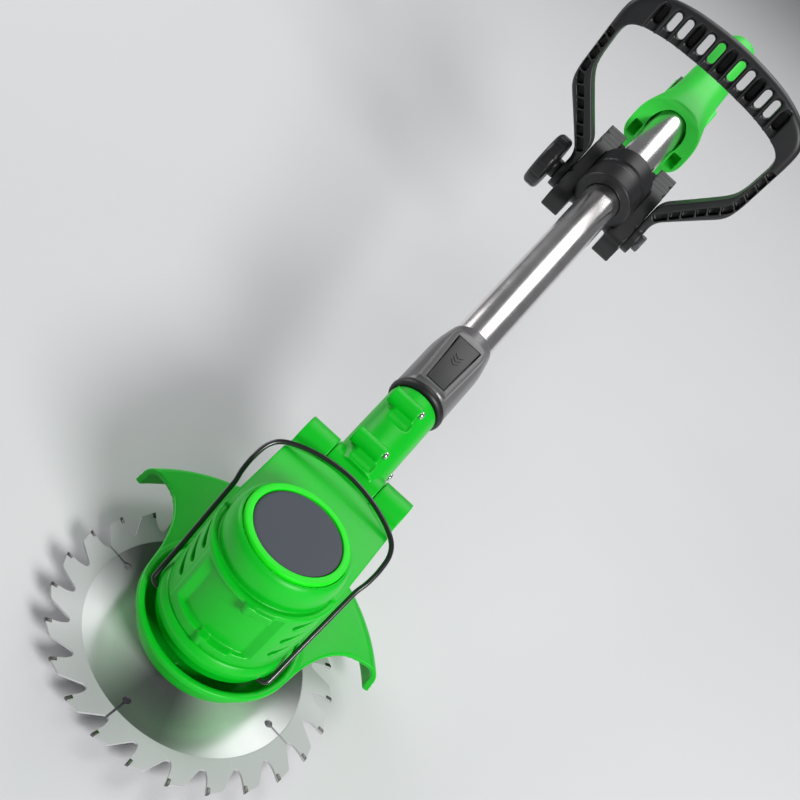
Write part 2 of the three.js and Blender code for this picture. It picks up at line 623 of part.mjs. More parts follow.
function handleShell() {
  const slant = polygon([[GRIP.front - 5, 40], [500, 40], [496, 17.3], [489, 14.4], [487, 12],
    [481, 2], [474, -8], [473, -40], [GRIP.front - 5, -40]]);
  const pockets = [-1, 1].map((side) => box(18 * side - 3.6, 18 * side + 3.6, 465, 486, -15, -4));
  const shoe = slab(roundedRectangle(-23.2, 23.2, 476, 566, 6), -28, -12, 4);
  const outer = union(loft(gripSections(0)), shoe);
  const tubeBore = bar('y', 460, TUBE.end + 1, TUBE.outer + GAP, [0, 0], 24);
  const slot = box(-TRIGGER.halfWidth - 0.7, TRIGGER.halfWidth + 0.7, 565.5, TRIGGER.rear + 2,
    -40, -19);
  const contacts = box(-15, 15, 502, 532, -40, -20);
  const lockHole = sidePlate(roundedRectangle(LOCK.s - 8.4, LOCK.s + 8.4, LOCK.h - 4.4,
    LOCK.h + 4.4, 4.3), -40, -10, 6);
  return without(outer, sidePlate(slant, -40, 40), ...pockets, gripHollow(500, 641), tubeBore, slot,
    contacts, lockHole);
}

function buildHandle(group) {
  const posts = HANDLE_SCREWS.map(([s, h]) => bar('x', -14, 14, 4.8, [s, h], 12)
    .intersect(loft(gripSections(0.6))));
  const holes = HANDLE_SCREWS.map((place) => union(bar('x', -11, 40, 1.5 + GAP, place, 12),
    bar('x', 10.4, 40, 3.1 + GAP, place, 12)));
  const shell = without(union(handleShell(), ...posts), ...holes);
  addMesh(group, 'handle_left', leftHalf(shell), green());
  addMesh(group, 'handle_right', rightHalf(shell), green());
  HANDLE_SCREWS.forEach((place, i) => {
    addMesh(group, `handle_screw_${i + 1}`, screw('x', 12.7, 18, place), chrome());
  });
  addMesh(group, 'terminal_block', terminalBlock(), black());
  addMesh(group, 'power_switch', box(-5.6, 5.6, 582, 602, -12.6, 0), black());
}

// The socket that the battery's contacts slide onto, held in the handle's shoe.
function terminalBlock() {
  const body = box(-14.6, 14.6, 502.4, 531.6, -27.8, -21.5);
  const slots = [-8, 0, 8].map((x) => box(x - 1.2, x + 1.2, 508, 540, -30, -24));
  return without(body, ...slots);
}

function buildTrigger(group) {
  const { s, h, front, rear, halfWidth } = TRIGGER;
  const side = new THREE.Shape();
  side.moveTo(front - 1, h + 1.4);
  side.lineTo(rear - 3, h + 1.4);
  side.lineTo(rear, h - 2);
  side.quadraticCurveTo(rear - 1, h - 15, rear - 9, h - 16);
  side.quadraticCurveTo(front + 13, h - 9.4, front - 1, h - 8);
  addMesh(group, 'trigger', without(sidePlate(side, -halfWidth, halfWidth, 8),
    bar('x', -10, 10, 1.6 + GAP, [s, h - 2.4], 16)), black());
}

function triggerPin() {
  return bar('x', -TRIGGER.halfWidth - 0.4, TRIGGER.halfWidth + 0.4, 1.6,
    [TRIGGER.s, TRIGGER.h - 2.4], 16);
}

function buildLockButton(group) {
  const { s, h } = LOCK;
  const stem = sidePlate(roundedRectangle(s - 8, s + 8, h - 4, h + 4, 3.9), LOCK.outer, LOCK.inner, 6);
  addMesh(group, 'lock_off_button', stem, black());
}

// ---- Battery ---------------------------------------------------------------------------------
function buildBattery(group) {
  const { halfWidth, front, rear, top, bottom } = BATTERY;
  const split = -33;
  const plan = (inset) => roundedRectangle(-halfWidth + inset, halfWidth - inset, front + inset,
    rear - inset, 6 - inset);
  const tray = without(slab(plan(0), bottom, split, 6), slab(plan(2), bottom + 2, split + 1, 6));
  const lid = without(slab(plan(0), split + GAP, top, 6), slab(plan(2), split - 1, top - 2, 6),
    box(-12, 12, 500, 534, top - 4, top + 1));
  addMesh(group, 'battery_tray', tray, black());
  addMesh(group, 'battery_lid', lid, black());
  [[-9.6, -58.4], [9.6, -58.4], [-9.6, -40], [9.6, -40]].forEach(([x, h], i) => {
    addMesh(group, `battery_cell_${i + 1}`, bar('y', 486, 551, 9.1, [x, h], 20), steel());
  });
}

// ---- Handle clamp ----------------------------------------------------------------------------
// A split ring grips the tube, and its two ears are drawn together by the bolt below the tube.
function clampRing() {
  const { s, h, ringRadius } = CLAMP;
  const collar = bar('y', s - 19, s + 19, ringRadius, [0, 0], 24);
  const ears = union(box(-8.5, 8.5, s - 12, s + 12, h, -12),
    bar('x', -8.5, 8.5, 12, [s, h], 20));
  const split = box(-1.2, 1.2, s - 30, s + 30, -60, -8);
  return without(union(collar, ears), bar('y', s - 40, s + 40, TUBE.outer + GAP, [0, 0], 24),
    split, bar('x', -20, 20, 3 + GAP, [s, h]));
}

// The fluted side blocks stand between the ring's ears and the feet of the loop handle.
function clampBlock(side) {
  const { s, h, blockInner, blockOuter } = CLAMP;
  const flank = new THREE.Shape();
  flank.moveTo(s - 30, h - 10);
  flank.lineTo(s - 20, h - 14);
  flank.lineTo(s + 20, h - 14);
  flank.lineTo(s + 44, h - 2);
  flank.quadraticCurveTo(s + 49, h + 1, s + 49, h + 6);
  flank.lineTo(s + 49, h + 18);
  flank.quadraticCurveTo(s + 49, h + 23, s + 44, h + 23);
  flank.lineTo(s + 18, h + 23);
  flank.lineTo(s + 8, h + 18);
  flank.lineTo(s - 14, h + 12);
  flank.quadraticCurveTo(s - 32, h + 8, s - 32, h - 2);
  const body = sidePlate(flank, blockInner, blockOuter, 6);
  const bridge = bar('x', 8.5 + GAP, blockInner + 1, 10, [s, h], 20);
  const flutes = [-20, -7, 24, 36].map((at) =>
    bar('z', h - 30, h + 40, 2.4, [blockOuter + 1, s + at], 16));
  const ringRoom = bar('y', s - 20, s + 20, CLAMP.ringRadius + GAP, [0, 0], 24);
  const block = without(union(body, bridge), ringRoom, ...flutes,
    bar('x', 0, 60, 3 + GAP, [s, h]));
  return side > 0 ? block : block.mirror([1, 0, 0]);
}

// ---- Loop handle -----------------------------------------------------------------------------
// Half outlines of the loop in its own plane, from the feet up to the crest at X = 0.
const LOOP_OUTER = [[35.4, 0], [35.4, 17.5], [58, 40.5], [67.6, 50], [70, 60], [72.6, 104], [71.6, 113],
  [65, 122], [54, 128], [36, 133]];
const LOOP_INNER = [[29.8, 0], [29.8, 29], [50, 51], [61, 63.5], [63.6, 72], [65.2, 93],
  [63.6, 98.4], [58, 103], [48, 106], [34, 108.4]];

function loopOutline() {
  const shape = new THREE.Shape();
  const mirrored = (points) => points.map(([x, u]) => [-x, u]).reverse();
  const outer = [...LOOP_OUTER, [0, LOOP.crest], ...mirrored(LOOP_OUTER)];
  const inner = [...LOOP_INNER, [0, 110], ...mirrored(LOOP_INNER)].reverse();
  [...outer, ...inner].forEach(([x, u], i) => (i ? shape.lineTo(x, u) : shape.moveTo(x, u)));
  shape.closePath();
  return shape;
}

// The top grip is pierced in pairs, with a blind pocket before, between and after the pairs.
const SLOT = { width: 5.4, low: 113.6, high: 129.2 };
const PIERCED = [-42, -33.6, -17.8, -9.2, 7.6, 16, 31.8, 40.2];
const BLIND = [-51.4, -25.8, -0.8, 24, 49];

function gripSlot(x, from, to) {
  const half = SLOT.width / 2;
  const drop = 0.0011 * x * x;
  const shape = roundedRectangle(x - half, x + half, SLOT.low - drop, SLOT.high - drop * 2,
    half - 0.01);
  return facePlate(shape, to - from, 2).translate([0, (from + to) / 2, 0]);
}

function loopHandle() {
  const { depth, footInner, footOuter } = LOOP;
  const feet = [bar('x', footInner, footOuter, 11, [0, 0], 24),
    bar('x', -footOuter, -footInner, 11, [0, 0], 24)];
  const frame = union(facePlate(loopOutline(), depth), ...feet);
  const pierced = PIERCED.map((x) => gripSlot(x, -depth, depth));
  const blind = BLIND.map((x) => gripSlot(x, -depth, depth / 2 - 5));
  return without(frame, ...pierced, ...blind, bar('x', -60, 60, 3 + GAP, [0, 0]));
}

function clampKnob() {
  const lobes = 14;
  const grip = [];
  const body = bar('x', -50.4, -39.8, 20.4, [0, 0], 42);
  for (let i = 0; i < lobes; i += 1) {
    const angle = (2 * Math.PI * i) / lobes;
    grip.push(bar('x', -52, -38, 1.6, [21.2 * Math.cos(angle), 21.2 * Math.sin(angle)], 10));
  }
  const neck = bar('x', -40, -LOOP.footOuter - GAP, 7, [0, 0], 24);
  return without(union(without(body, ...grip), neck), bar('x', -46, -30, 3 + GAP, [0, 0]));
}

function buildClamp(clamp, loop) {
  addMesh(clamp, 'clamp_ring', clampRing(), black());
  addMesh(clamp, 'clamp_block_left', clampBlock(-1), black());
  addMesh(clamp, 'clamp_block_right', clampBlock(1), black());
  addMesh(loop, 'loop_handle', loopHandle(), black());
  addMesh(loop, 'clamp_knob', clampKnob(), black());
  addMesh(loop, 'clamp_bolt', bar('x', -45.6, 39, 3, [0, 0]), darkSteel());
  const nut = solid(new THREE.CylinderGeometry(6.4, 6.4, 4, 6).rotateZ(Math.PI / 2)
    .translate(LOOP.footOuter + 2.4, 0, 0));
  addMesh(loop, 'clamp_nut', nut.subtract(bar('x', 30, 50, 3 + GAP, [0, 0])), chrome());
}

// ---- Assembly --------------------------------------------------------------------------------
const lawnEdger = new THREE.Group();
lawnEdger.position.z = SPINDLE_DROP;

const head = new THREE.Group();
buildBlade(head);
buildMotor(head);
buildHead(head);
addMesh(head, 'wire_guard', wireGuard(), black());

const pole = new THREE.Group();
pole.position.z = POLE_HEIGHT;
pole.rotation.x = degrees(POLE_TILT);
buildLowerPole(pole);
buildPole(pole);
buildCollarButton(pole);
buildHandle(pole);
buildTrigger(pole);
addMesh(pole, 'trigger_pin', triggerPin(), steel());
buildLockButton(pole);
buildBattery(pole);

const loop = new THREE.Group();
loop.position.set(0, CLAMP.s, CLAMP.h);
loop.rotation.x = degrees(-LOOP.lean);
buildClamp(pole, loop);
pole.add(loop);

lawnEdger.add(head, pole);
export default lawnEdger;
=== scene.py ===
"""Cordless lawn edger: the looks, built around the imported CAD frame.

Lengths in this file are millimetres unless a name says otherwise, and each piece is laid out in
the frame of the part that it belongs to: HEAD (+Z up the motor axis, from the blade's middle),
POLE (+Y along the pole, +Z square to it) or LOOP (+Z up the loop handle, from its bolt).
"""

import json
import math
from collections import namedtuple

import bmesh
import bpy
from mathutils import Matrix, Vector


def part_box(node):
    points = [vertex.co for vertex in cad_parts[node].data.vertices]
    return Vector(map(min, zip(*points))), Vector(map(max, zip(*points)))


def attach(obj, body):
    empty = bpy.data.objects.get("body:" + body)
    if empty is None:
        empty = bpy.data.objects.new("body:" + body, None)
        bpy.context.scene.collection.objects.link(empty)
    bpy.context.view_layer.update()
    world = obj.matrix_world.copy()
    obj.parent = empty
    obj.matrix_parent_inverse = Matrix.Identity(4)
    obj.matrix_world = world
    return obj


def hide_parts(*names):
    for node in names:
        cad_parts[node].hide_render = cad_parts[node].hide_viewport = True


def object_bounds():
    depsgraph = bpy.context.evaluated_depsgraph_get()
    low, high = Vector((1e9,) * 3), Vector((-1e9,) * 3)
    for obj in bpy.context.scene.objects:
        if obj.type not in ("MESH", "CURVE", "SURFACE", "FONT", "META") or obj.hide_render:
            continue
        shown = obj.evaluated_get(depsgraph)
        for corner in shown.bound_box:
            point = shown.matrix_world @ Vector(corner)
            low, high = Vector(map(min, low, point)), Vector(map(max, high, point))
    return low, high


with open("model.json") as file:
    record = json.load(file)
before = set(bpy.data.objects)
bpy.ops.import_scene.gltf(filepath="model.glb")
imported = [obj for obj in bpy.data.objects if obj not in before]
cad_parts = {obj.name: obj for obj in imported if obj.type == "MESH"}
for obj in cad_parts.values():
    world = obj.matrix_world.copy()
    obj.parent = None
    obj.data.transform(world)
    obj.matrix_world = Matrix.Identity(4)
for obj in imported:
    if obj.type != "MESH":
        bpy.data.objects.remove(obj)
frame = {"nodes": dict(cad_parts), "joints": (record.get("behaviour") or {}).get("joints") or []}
CAD_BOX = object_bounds()

MM = 0.001
X_AXIS = Vector((1, 0, 0))
JOINTS = {joint["name"]: joint for joint in frame["joints"]}


# ---- Frames ----------------------------------------------------------------------------------
def axes_matrix(origin, x, y, z):
    matrix = Matrix((x, y, z)).transposed().to_4x4()
    matrix.translation = origin
    return matrix


def middle(node):
    low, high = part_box(node)
    return (low + high) / 2


HINGE_S = 85  # the head's hinge, along the pole
LOOP_LEAN = 25  # degrees that the loop handle leans back from square to the pole

ALONG = -Vector(JOINTS["telescope"]["axis"]).normalized()
SQUARE = X_AXIS.cross(ALONG)
HINGE = Vector(JOINTS["head_tilt"]["pos_m"])
HEAD = Matrix.Translation((0, 0, middle("saw_blade").z))
POLE = axes_matrix(HINGE - HINGE_S * MM * ALONG, X_AXIS, ALONG, SQUARE)
LOOP_UP = (Matrix.Rotation(math.radians(-LOOP_LEAN), 3, "X") @ SQUARE).normalized()
LOOP = axes_matrix(Vector(JOINTS["loop_tilt"]["pos_m"]), X_AXIS, LOOP_UP.cross(X_AXIS), LOOP_UP)


# ---- Outlines --------------------------------------------------------------------------------
def rounded(points, radius=0.5, steps=4, closed=True):
    """The outline with each corner turned into a small arc. A point's third value is its own radius."""
    made = []
    count = len(points)
    for i, point in enumerate(points):
        corner = Vector(point[:2])
        ends = not closed and i in (0, count - 1)
        reach = point[2] if len(point) > 2 else radius
        before = Vector(points[i - 1][:2]) - corner
        after = Vector(points[(i + 1) % count][:2]) - corner
        if ends or reach <= 0 or not before.length or not after.length:
            made.append(tuple(corner))
            continue
        start = corner + before.normalized() * min(reach, before.length * 0.49)
        stop = corner + after.normalized() * min(reach, after.length * 0.49)
        for k in range(steps + 1):
            t = k / steps
            bent = start * (1 - t) ** 2 + corner * 2 * t * (1 - t) + stop * t**2
            made.append(tuple(bent))
    return made


def arc(centre, radius, start, stop, steps):
    """Points on an arc, in degrees."""
    turns = [math.radians(start + (stop - start) * k / steps) for k in range(steps + 1)]
    return [(centre[0] + radius * math.cos(a), centre[1] + radius * math.sin(a)) for a in turns]


def rectangle(x0, x1, y0, y1):
    return [(x0, y0), (x1, y0), (x1, y1), (x0, y1)]


def spline(points, steps=8):
    """A smooth open line through points of any dimension (centripetal Catmull-Rom)."""
    path = [Vector(p) for p in points]
    path = [path[0] * 2 - path[1], *path, path[-1] * 2 - path[-2]]
    made = []
    for a, b, c, d in zip(path, path[1:], path[2:], path[3:]):
        for k in range(steps):
            t = k / steps
            made.append(
                0.5 * (2 * b + (c - a) * t + (2 * a - 5 * b + 4 * c - d) * t**2
                       + (3 * b - a - 3 * c + d) * t**3))
    made.append(path[-2])
    return [tuple(p) for p in made]


# ---- Meshes ----------------------------------------------------------------------------------
def mesh_object(name, points, faces):
    """An object in millimetres of its own frame, in a mesh stored in metres."""
    mesh = bpy.data.meshes.new(name)
    mesh.from_pydata([tuple(c * MM for c in p) for p in points], [], faces)
    tidy = bmesh.new()
    tidy.from_mesh(mesh)
    bmesh.ops.remove_doubles(tidy, verts=tidy.verts, dist=1e-7)
    bmesh.ops.recalc_face_normals(tidy, faces=tidy.faces)
    tidy.to_mesh(mesh)
    tidy.free()
    obj = bpy.data.objects.new(name, mesh)
    bpy.context.scene.collection.objects.link(obj)
    return obj


def turned(profile, segments=96, axis="z"):
    """A closed [radius, height] outline turned about z, or about y for the pole."""
    rows = len(profile)
    points = []
    for k in range(segments):
        a = 2 * math.pi * k / segments
        for r, h in profile:
            x, y = r * math.cos(a), r * math.sin(a)
            points.append((x, y, h) if axis == "z" else (x, h, -y) if axis == "y" else (h, x, y))
    faces = []
    for k in range(segments):
        this, after = k * rows, ((k + 1) % segments) * rows
        for i in range(rows):
            j = (i + 1) % rows
            if profile[i][0] == 0 and profile[j][0] == 0:
                continue
            faces.append((this + i, after + i, after + j, this + j))
    return mesh_object("turned", points, faces)


def bar(radius, low, high, place=(0, 0), axis="x", segments=48, edge=0.4):
    """A round bar between two stations of an axis, at a place on the other two."""
    profile = rounded([(0, low, 0), (radius, low), (radius, high), (0, high, 0)], edge, 3)
    obj = turned(profile, segments, axis)
    u, v = place
    shift = {"x": (0, u, v), "y": (u, 0, v), "z": (u, v, 0)}[axis]
    obj.data.transform(Matrix.Translation(Vector(shift) * MM))
    return obj


def pipe(inner, outer, low, high, axis="y", segments=96, edge=0.3):
    return turned(rounded([(inner, low), (outer, low), (outer, high), (inner, high)], edge, 3),
                  segments, axis)


def prism(outline, low, high, plane="xy"):
    """An outline pushed along the axis square to its plane."""
    lift = {"xy": lambda p, h: (p[0], p[1], h), "yz": lambda p, h: (h, p[0], p[1]),
            "xz": lambda p, h: (p[0], h, p[1])}[plane]
    count = len(outline)
    points = [lift(p, low) for p in outline] + [lift(p, high) for p in outline]
    sides = [(i, (i + 1) % count, (i + 1) % count + count, i + count) for i in range(count)]
    return mesh_object("prism", points, [tuple(range(count)), tuple(range(count, 2 * count)), *sides])


def block(x0, x1, y0, y1, z0, z1, edge=0.5):
    obj = prism(rectangle(x0, x1, y0, y1), z0, z1)
    return softened(obj, edge) if edge else obj


def skinned(loops):
    """A closed solid over a row of loops that have as many points each."""
    count = len(loops[0])
    faces = [tuple(range(count)), tuple(range((len(loops) - 1) * count, len(loops) * count))]
    for row in range(len(loops) - 1):
        for k in range(count):
            a, b = row * count + k, row * count + (k + 1) % count
            faces.append((a, b, b + count, a + count))
    return mesh_object("skin", [point for loop in loops for point in loop], faces)


def rolled_plate(outline, half, radius, steps=6):
    """A plate in x and z, as thick as twice `half`, whose outline is rolled over on both faces."""
    count = len(outline)
    centre = sum((Vector(p) for p in outline), Vector((0, 0))) / count
    inward = []
    for i, point in enumerate(outline):
        along = Vector(outline[(i + 1) % count]) - Vector(outline[i - 1])
        across = Vector((-along.y, along.x)).normalized()
        inward.append(across if across.dot(centre - Vector(point)) > 0 else -across)
    loops = []
    for k in range(2 * steps + 2):
        side = -1 if k <= steps else 1
        a = math.pi / 2 * (k if side < 0 else 2 * steps + 1 - k) / steps
        inset, y = radius * (1 - math.sin(a)), side * (half - radius + radius * math.cos(a))
        moved = [Vector(p) + n * inset for p, n in zip(outline, inward)]
        loops.append([(p.x, y, p.y) for p in moved])
    return skinned(loops)


def loft(sections, facets=64, steps=6):
    """Skins rows of (s, half width, top, bottom, squareness) along the pole, with smooth rows between."""
    loops = []
    for s, width, top, bottom, square in spline(sections, steps):
        loop = []
        for k in range(facets):
            a = 2 * math.pi * k / facets
            bend = [math.copysign(abs(t) ** (2 / square), t) for t in (math.cos(a), math.sin(a))]
            loop.append((width * bend[0], s, (top + bottom) / 2 + (top - bottom) / 2 * bend[1]))
        loops.append(loop)
    return skinned(loops)


def wire(path, radius, resolution=6):
    """A round wire along a smooth line of points."""
    curve = bpy.data.curves.new("wire", "CURVE")
    curve.dimensions = "3D"
    line = curve.splines.new("POLY")
    line.points.add(len(path) - 1)
    for point, at in zip(line.points, path):
        point.co = (*(Vector(at) * MM), 1)
    curve.bevel_depth = radius * MM
    curve.bevel_resolution = resolution
    curve.use_fill_caps = True
    holder = bpy.data.objects.new("wire", curve)
    bpy.context.scene.collection.objects.link(holder)
    return applied(holder)


# ---- Mesh work -------------------------------------------------------------------------------
def applied(obj):
    """The object with its modifiers baked into its mesh."""
    bpy.context.view_layer.update()
    graph = bpy.context.evaluated_depsgraph_get()
    mesh = bpy.data.meshes.new_from_object(obj.evaluated_get(graph))
    if obj.type == "MESH":
        obj.modifiers.clear()
        obj.data = mesh
        return obj
    made = bpy.data.objects.new(obj.name, mesh)
    bpy.context.scene.collection.objects.link(made)
    bpy.data.objects.remove(obj)
    return made


def combined(base, tools, operation):
    for tool in tools:
        step = base.modifiers.new("boolean", "BOOLEAN")
        step.operation = operation
        step.solver = "MANIFOLD"
        step.object = tool
    applied(base)
    for tool in tools:
        bpy.data.objects.remove(tool)
    return base


def cut(base, *tools):
    return combined(base, tools, "DIFFERENCE")


def fused(base, *tools):
    return combined(base, tools, "UNION")


def common(base, *tools):
    return combined(base, tools, "INTERSECT")


def softened(obj, width=0.5, segments=2, angle=32):
    """Rounds the edges that turn by more than an angle."""
    step = obj.modifiers.new("edges", "BEVEL")
    step.width = width * MM
    step.segments = segments
    step.limit_method = "ANGLE"
    step.angle_limit = math.radians(angle)
    step.use_clamp_overlap = True
    return applied(obj)


def moulded(obj, voxel=0.6, passes=4, keep=1.0):
    """Remeshes a solid finely and relaxes it, so that all of its edges and joins get small fillets."""
    step = obj.modifiers.new("remesh", "REMESH")
    step.mode = "VOXEL"
    step.voxel_size = voxel * MM * 1
    applied(obj)
    if passes:
        relax = obj.modifiers.new("relax", "SMOOTH")
        relax.factor = 0.5
        relax.iterations = passes
    if keep < 1:
        thin = obj.modifiers.new("thin", "DECIMATE")
        thin.ratio = keep
    return applied(obj)


def shaded(obj, angle=35):
    """Smooth shading, with edges kept sharp past an angle."""
    work = bmesh.new()
    work.from_mesh(obj.data)
    for face in work.faces:
        face.smooth = True
    for edge in work.edges:
        edge.smooth = not (edge.is_manifold and edge.calc_face_angle(0) > math.radians(angle))
    work.to_mesh(obj.data)
    work.free()
    return obj


def mirrored_x(obj):
    obj.data.transform(Matrix.Scale(-1, 4, X_AXIS))
    obj.data.flip_normals()
    return obj


def copied(obj):
    twin = obj.copy()
    twin.data = obj.data.copy()
    bpy.context.scene.collection.objects.link(twin)
    return twin


def piece(obj, name, where, body, look, nodes=(), angle=35):
    """Names a finished mesh, puts it in its frame, says what it rides on and hides the CAD parts that it
    stands for.
    """
    shaded(obj, angle)
    obj.name = name
    obj.data.name = name
    obj.data.materials.clear()
    obj.data.materials.append(look.material)
    obj.matrix_world = where
    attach(obj, body)
    if nodes:
        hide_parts(*nodes)
    return obj


def screw_heads(stem, heads, where, body):
    """Names and places the heads of one set of screws, numbered from 1, in place of the CAD screws."""
    for k, head in enumerate(heads, 1):
        name = f"{stem}_screw_head_{k}"
        piece(head, name, where, body, BRIGHT, [f"{stem}_screw_{k}"])


def refinished(node, look):
    """Gives a piece that is kept from the CAD its own material."""
    materials = frame["nodes"][node].data.materials
    materials.clear()
    materials.append(look.material)


# ---- Materials -------------------------------------------------------------------------------
Look = namedtuple("Look", "slot material")  # a material, and the record's slot that it fills


def shader(name, color, metallic, roughness, **sockets):
    """A material with its Principled node, its node maker and its linker."""
    material = bpy.data.materials.new(name)
    material.use_nodes = True
    nodes, links = material.node_tree.nodes, material.node_tree.links
    surface = nodes["Principled BSDF"]
    surface.inputs["Base Color"].default_value = (*color, 1)
    surface.inputs["Metallic"].default_value = metallic
    surface.inputs["Roughness"].default_value = roughness
    for socket, value in sockets.items():
        surface.inputs[socket.replace("_", " ").title()].default_value = value
    return material, surface, nodes.new, links.new


def noise(new, link, coordinates, scale, detail=4, stretch=None):
    """A noise value over the object's own coordinates, which are in metres."""
    texture = new("ShaderNodeTexNoise")
    texture.inputs["Scale"].default_value = scale
    texture.inputs["Detail"].default_value = detail
    if stretch:
        mapping = new("ShaderNodeMapping")
        mapping.inputs["Scale"].default_value = stretch
        link(coordinates, mapping.inputs["Vector"])
        coordinates = mapping.outputs["Vector"]
    link(coordinates, texture.inputs["Vector"])
    return texture.outputs["Fac"]


def ranged(new, link, value, low, high, start=0.3, stop=0.7):
    """Maps a value onto a range."""
    node = new("ShaderNodeMapRange")
    node.inputs["From Min"].default_value = start
    node.inputs["From Max"].default_value = stop
    node.inputs["To Min"].default_value = low
    node.inputs["To Max"].default_value = high
    link(value, node.inputs["Value"])
    return node.outputs["Result"]


def tinted(new, link, amount, low, high):
    """A colour between two, by a value."""
    node = new("ShaderNodeMix")
    node.data_type = "RGBA"
    node.inputs["A"].default_value = (*low, 1)
    node.inputs["B"].default_value = (*high, 1)
    link(amount, node.inputs["Factor"])
    return node.outputs["Result"]


def bumped(new, link, surface, height, distance, strength=0.4):
    node = new("ShaderNodeBump")
    node.inputs["Strength"].default_value = strength
    node.inputs["Distance"].default_value = distance * MM
    link(height, node.inputs["Height"])
    link(node.outputs["Normal"], surface.inputs["Normal"])


def lighter(color, gain):
    return tuple(min(1, c * gain) for c in color)


RIM_RADIUS = 58  # the blade's matt rim starts here


def plastic(name, color, roughness, grain=0.02, speckle=0.06, coat=0.0, worn=1.25, gloss=0.5,
            slot=None):
    """Moulded plastic: a fine spark-eroded grain, slow colour drift, edges rubbed paler, and painted shade
    darkening the creases.
    """
    material, surface, new, link = shader(name, color, 0, roughness, coat_weight=coat)
    surface.inputs["Coat Roughness"].default_value = 0.25
    surface.inputs["Specular IOR Level"].default_value = gloss
    where = new("ShaderNodeTexCoord").outputs["Object"]
    fine = noise(new, link, where, 2600, 2)
    drift = noise(new, link, where, 34, 5)
    link(ranged(new, link, drift, roughness - speckle, roughness + speckle), surface.inputs["Roughness"])
    body = tinted(new, link, ranged(new, link, drift, 0, 1), lighter(color, 0.92), lighter(color, 1.06))
    edges = new("ShaderNodeNewGeometry").outputs["Pointiness"]
    rubbed = [c * worn + 0.01 * (worn - 1) for c in color]
    crease_shade = [c * 0.35 for c in color]
    # Convex edges are lightened as wear; concave creases are darkened as painted shade.
    for tint, start, stop in ((rubbed, 0.52, 0.6), (crease_shade, 0.485, 0.42)):
        blend = new("ShaderNodeMix")
        blend.data_type = "RGBA"
        blend.inputs["B"].default_value = (*tint, 1)
        link(body, blend.inputs["A"])
        link(ranged(new, link, edges, 0, 0.7, start, stop), blend.inputs["Factor"])
        body = blend.outputs["Result"]
    link(body, surface.inputs["Base Color"])
    bumped(new, link, surface, fine, grain, 0.35)
    return Look(slot or name, material)


def metal(name, color, roughness, along=(1, 1, 1), depth=0.004, smear=0.05, slot=None):
    """Metal with fine drawn or brushed lines, stretched along one direction, and faint handling marks."""
    material, surface, new, link = shader(name, color, 1, roughness)
    where = new("ShaderNodeTexCoord").outputs["Object"]
    lines = noise(new, link, where, 900, 3, along)
    marks = noise(new, link, where, 60, 6)
    link(ranged(new, link, marks, roughness - smear, roughness + smear), surface.inputs["Roughness"])
    link(tinted(new, link, ranged(new, link, marks, 0, 1), lighter(color, 0.9), color),
         surface.inputs["Base Color"])
    bumped(new, link, surface, lines, depth, 0.25)
    return Look(slot or name, material)


def fan(new, link, x, y, sectors, first):
    """A wave round the axis, from -1 to 1, with one crest per sector and a crest at the angle `first`."""
    value = new("ShaderNodeMath")
    value.operation = "ARCTAN2"
    link(y, value.inputs[0])
    link(x, value.inputs[1])
    for operation, number in (("SUBTRACT", math.radians(first)), ("MULTIPLY", sectors), ("COSINE", 0)):
        step = new("ShaderNodeMath")
        step.operation = operation
        link(value.outputs[0], step.inputs[0])
        step.inputs[1].default_value = number
        value = step
    return value.outputs[0]


def blade_steel():
    """A ground disc painted with bright and dark reflection sectors by turns round the hub, standing in for
    the highlights that circular grinding throws, and a matt rim.
    """
    rim, reflection_bright, reflection_dark = (0.6, 0.6, 0.61), (0.8, 0.8, 0.81), (0.16, 0.16, 0.165)
    material, surface, new, link = shader("blade_steel", reflection_bright, 1, 0.3, anisotropic=0.9)
    where = new("ShaderNodeTexCoord").outputs["Object"]
    split = new("ShaderNodeSeparateXYZ")
    link(where, split.inputs["Vector"])
    flat = new("ShaderNodeCombineXYZ")
    link(split.outputs["X"], flat.inputs["X"])
    link(split.outputs["Y"], flat.inputs["Y"])
    length = new("ShaderNodeVectorMath")
    length.operation = "LENGTH"
    link(flat.outputs["Vector"], length.inputs[0])
    radius = length.outputs["Value"]
    is_rim = ranged(new, link, radius, 0, 1, (RIM_RADIUS - 0.4) * MM, (RIM_RADIUS - 0.1) * MM)
    rings = new("ShaderNodeTexNoise")
    rings.noise_dimensions = "1D"
    rings.inputs["Scale"].default_value = 5200
    rings.inputs["Detail"].default_value = 2
    link(radius, rings.inputs["W"])
    grit = noise(new, link, where, 1500, 3)
    ground_rough = ranged(new, link, rings.outputs["Fac"], 0.29, 0.35)
    rim_rough = ranged(new, link, grit, 0.5, 0.62)
    rough = new("ShaderNodeMix")
    link(is_rim, rough.inputs["Factor"])
    link(ground_rough, rough.inputs["A"])
    link(rim_rough, rough.inputs["B"])
    link(rough.outputs["Result"], surface.inputs["Roughness"])
    # Painted reflection: three bright and three dark sectors baked into the disc's colour.
    reflection_sectors = fan(new, link, split.outputs["X"], split.outputs["Y"], 3, -147)
    disc = tinted(new, link, ranged(new, link, reflection_sectors, 0, 1, -0.8, 0.95), reflection_dark, reflection_bright)
    color = new("ShaderNodeMix")
    color.data_type = "RGBA"
    color.inputs["B"].default_value = (*rim, 1)
    link(is_rim, color.inputs["Factor"])
    link(disc, color.inputs["A"])
    link(color.outputs["Result"], surface.inputs["Base Color"])
    link(ranged(new, link, is_rim, 0.42, 0.15, 0, 1), surface.inputs["Metallic"])
    height = new("ShaderNodeMix")
    link(is_rim, height.inputs["Factor"])
    link(rings.outputs["Fac"], height.inputs["A"])
    link(grit, height.inputs["B"])
    bumped(new, link, surface, height.outputs["Result"], 0.005, 0.12)
    tangent = new("ShaderNodeTangent")
    tangent.direction_type = "RADIAL"
    tangent.axis = "Z"
    link(tangent.outputs["Tangent"], surface.inputs["Tangent"])
    return Look("blade_steel", material)


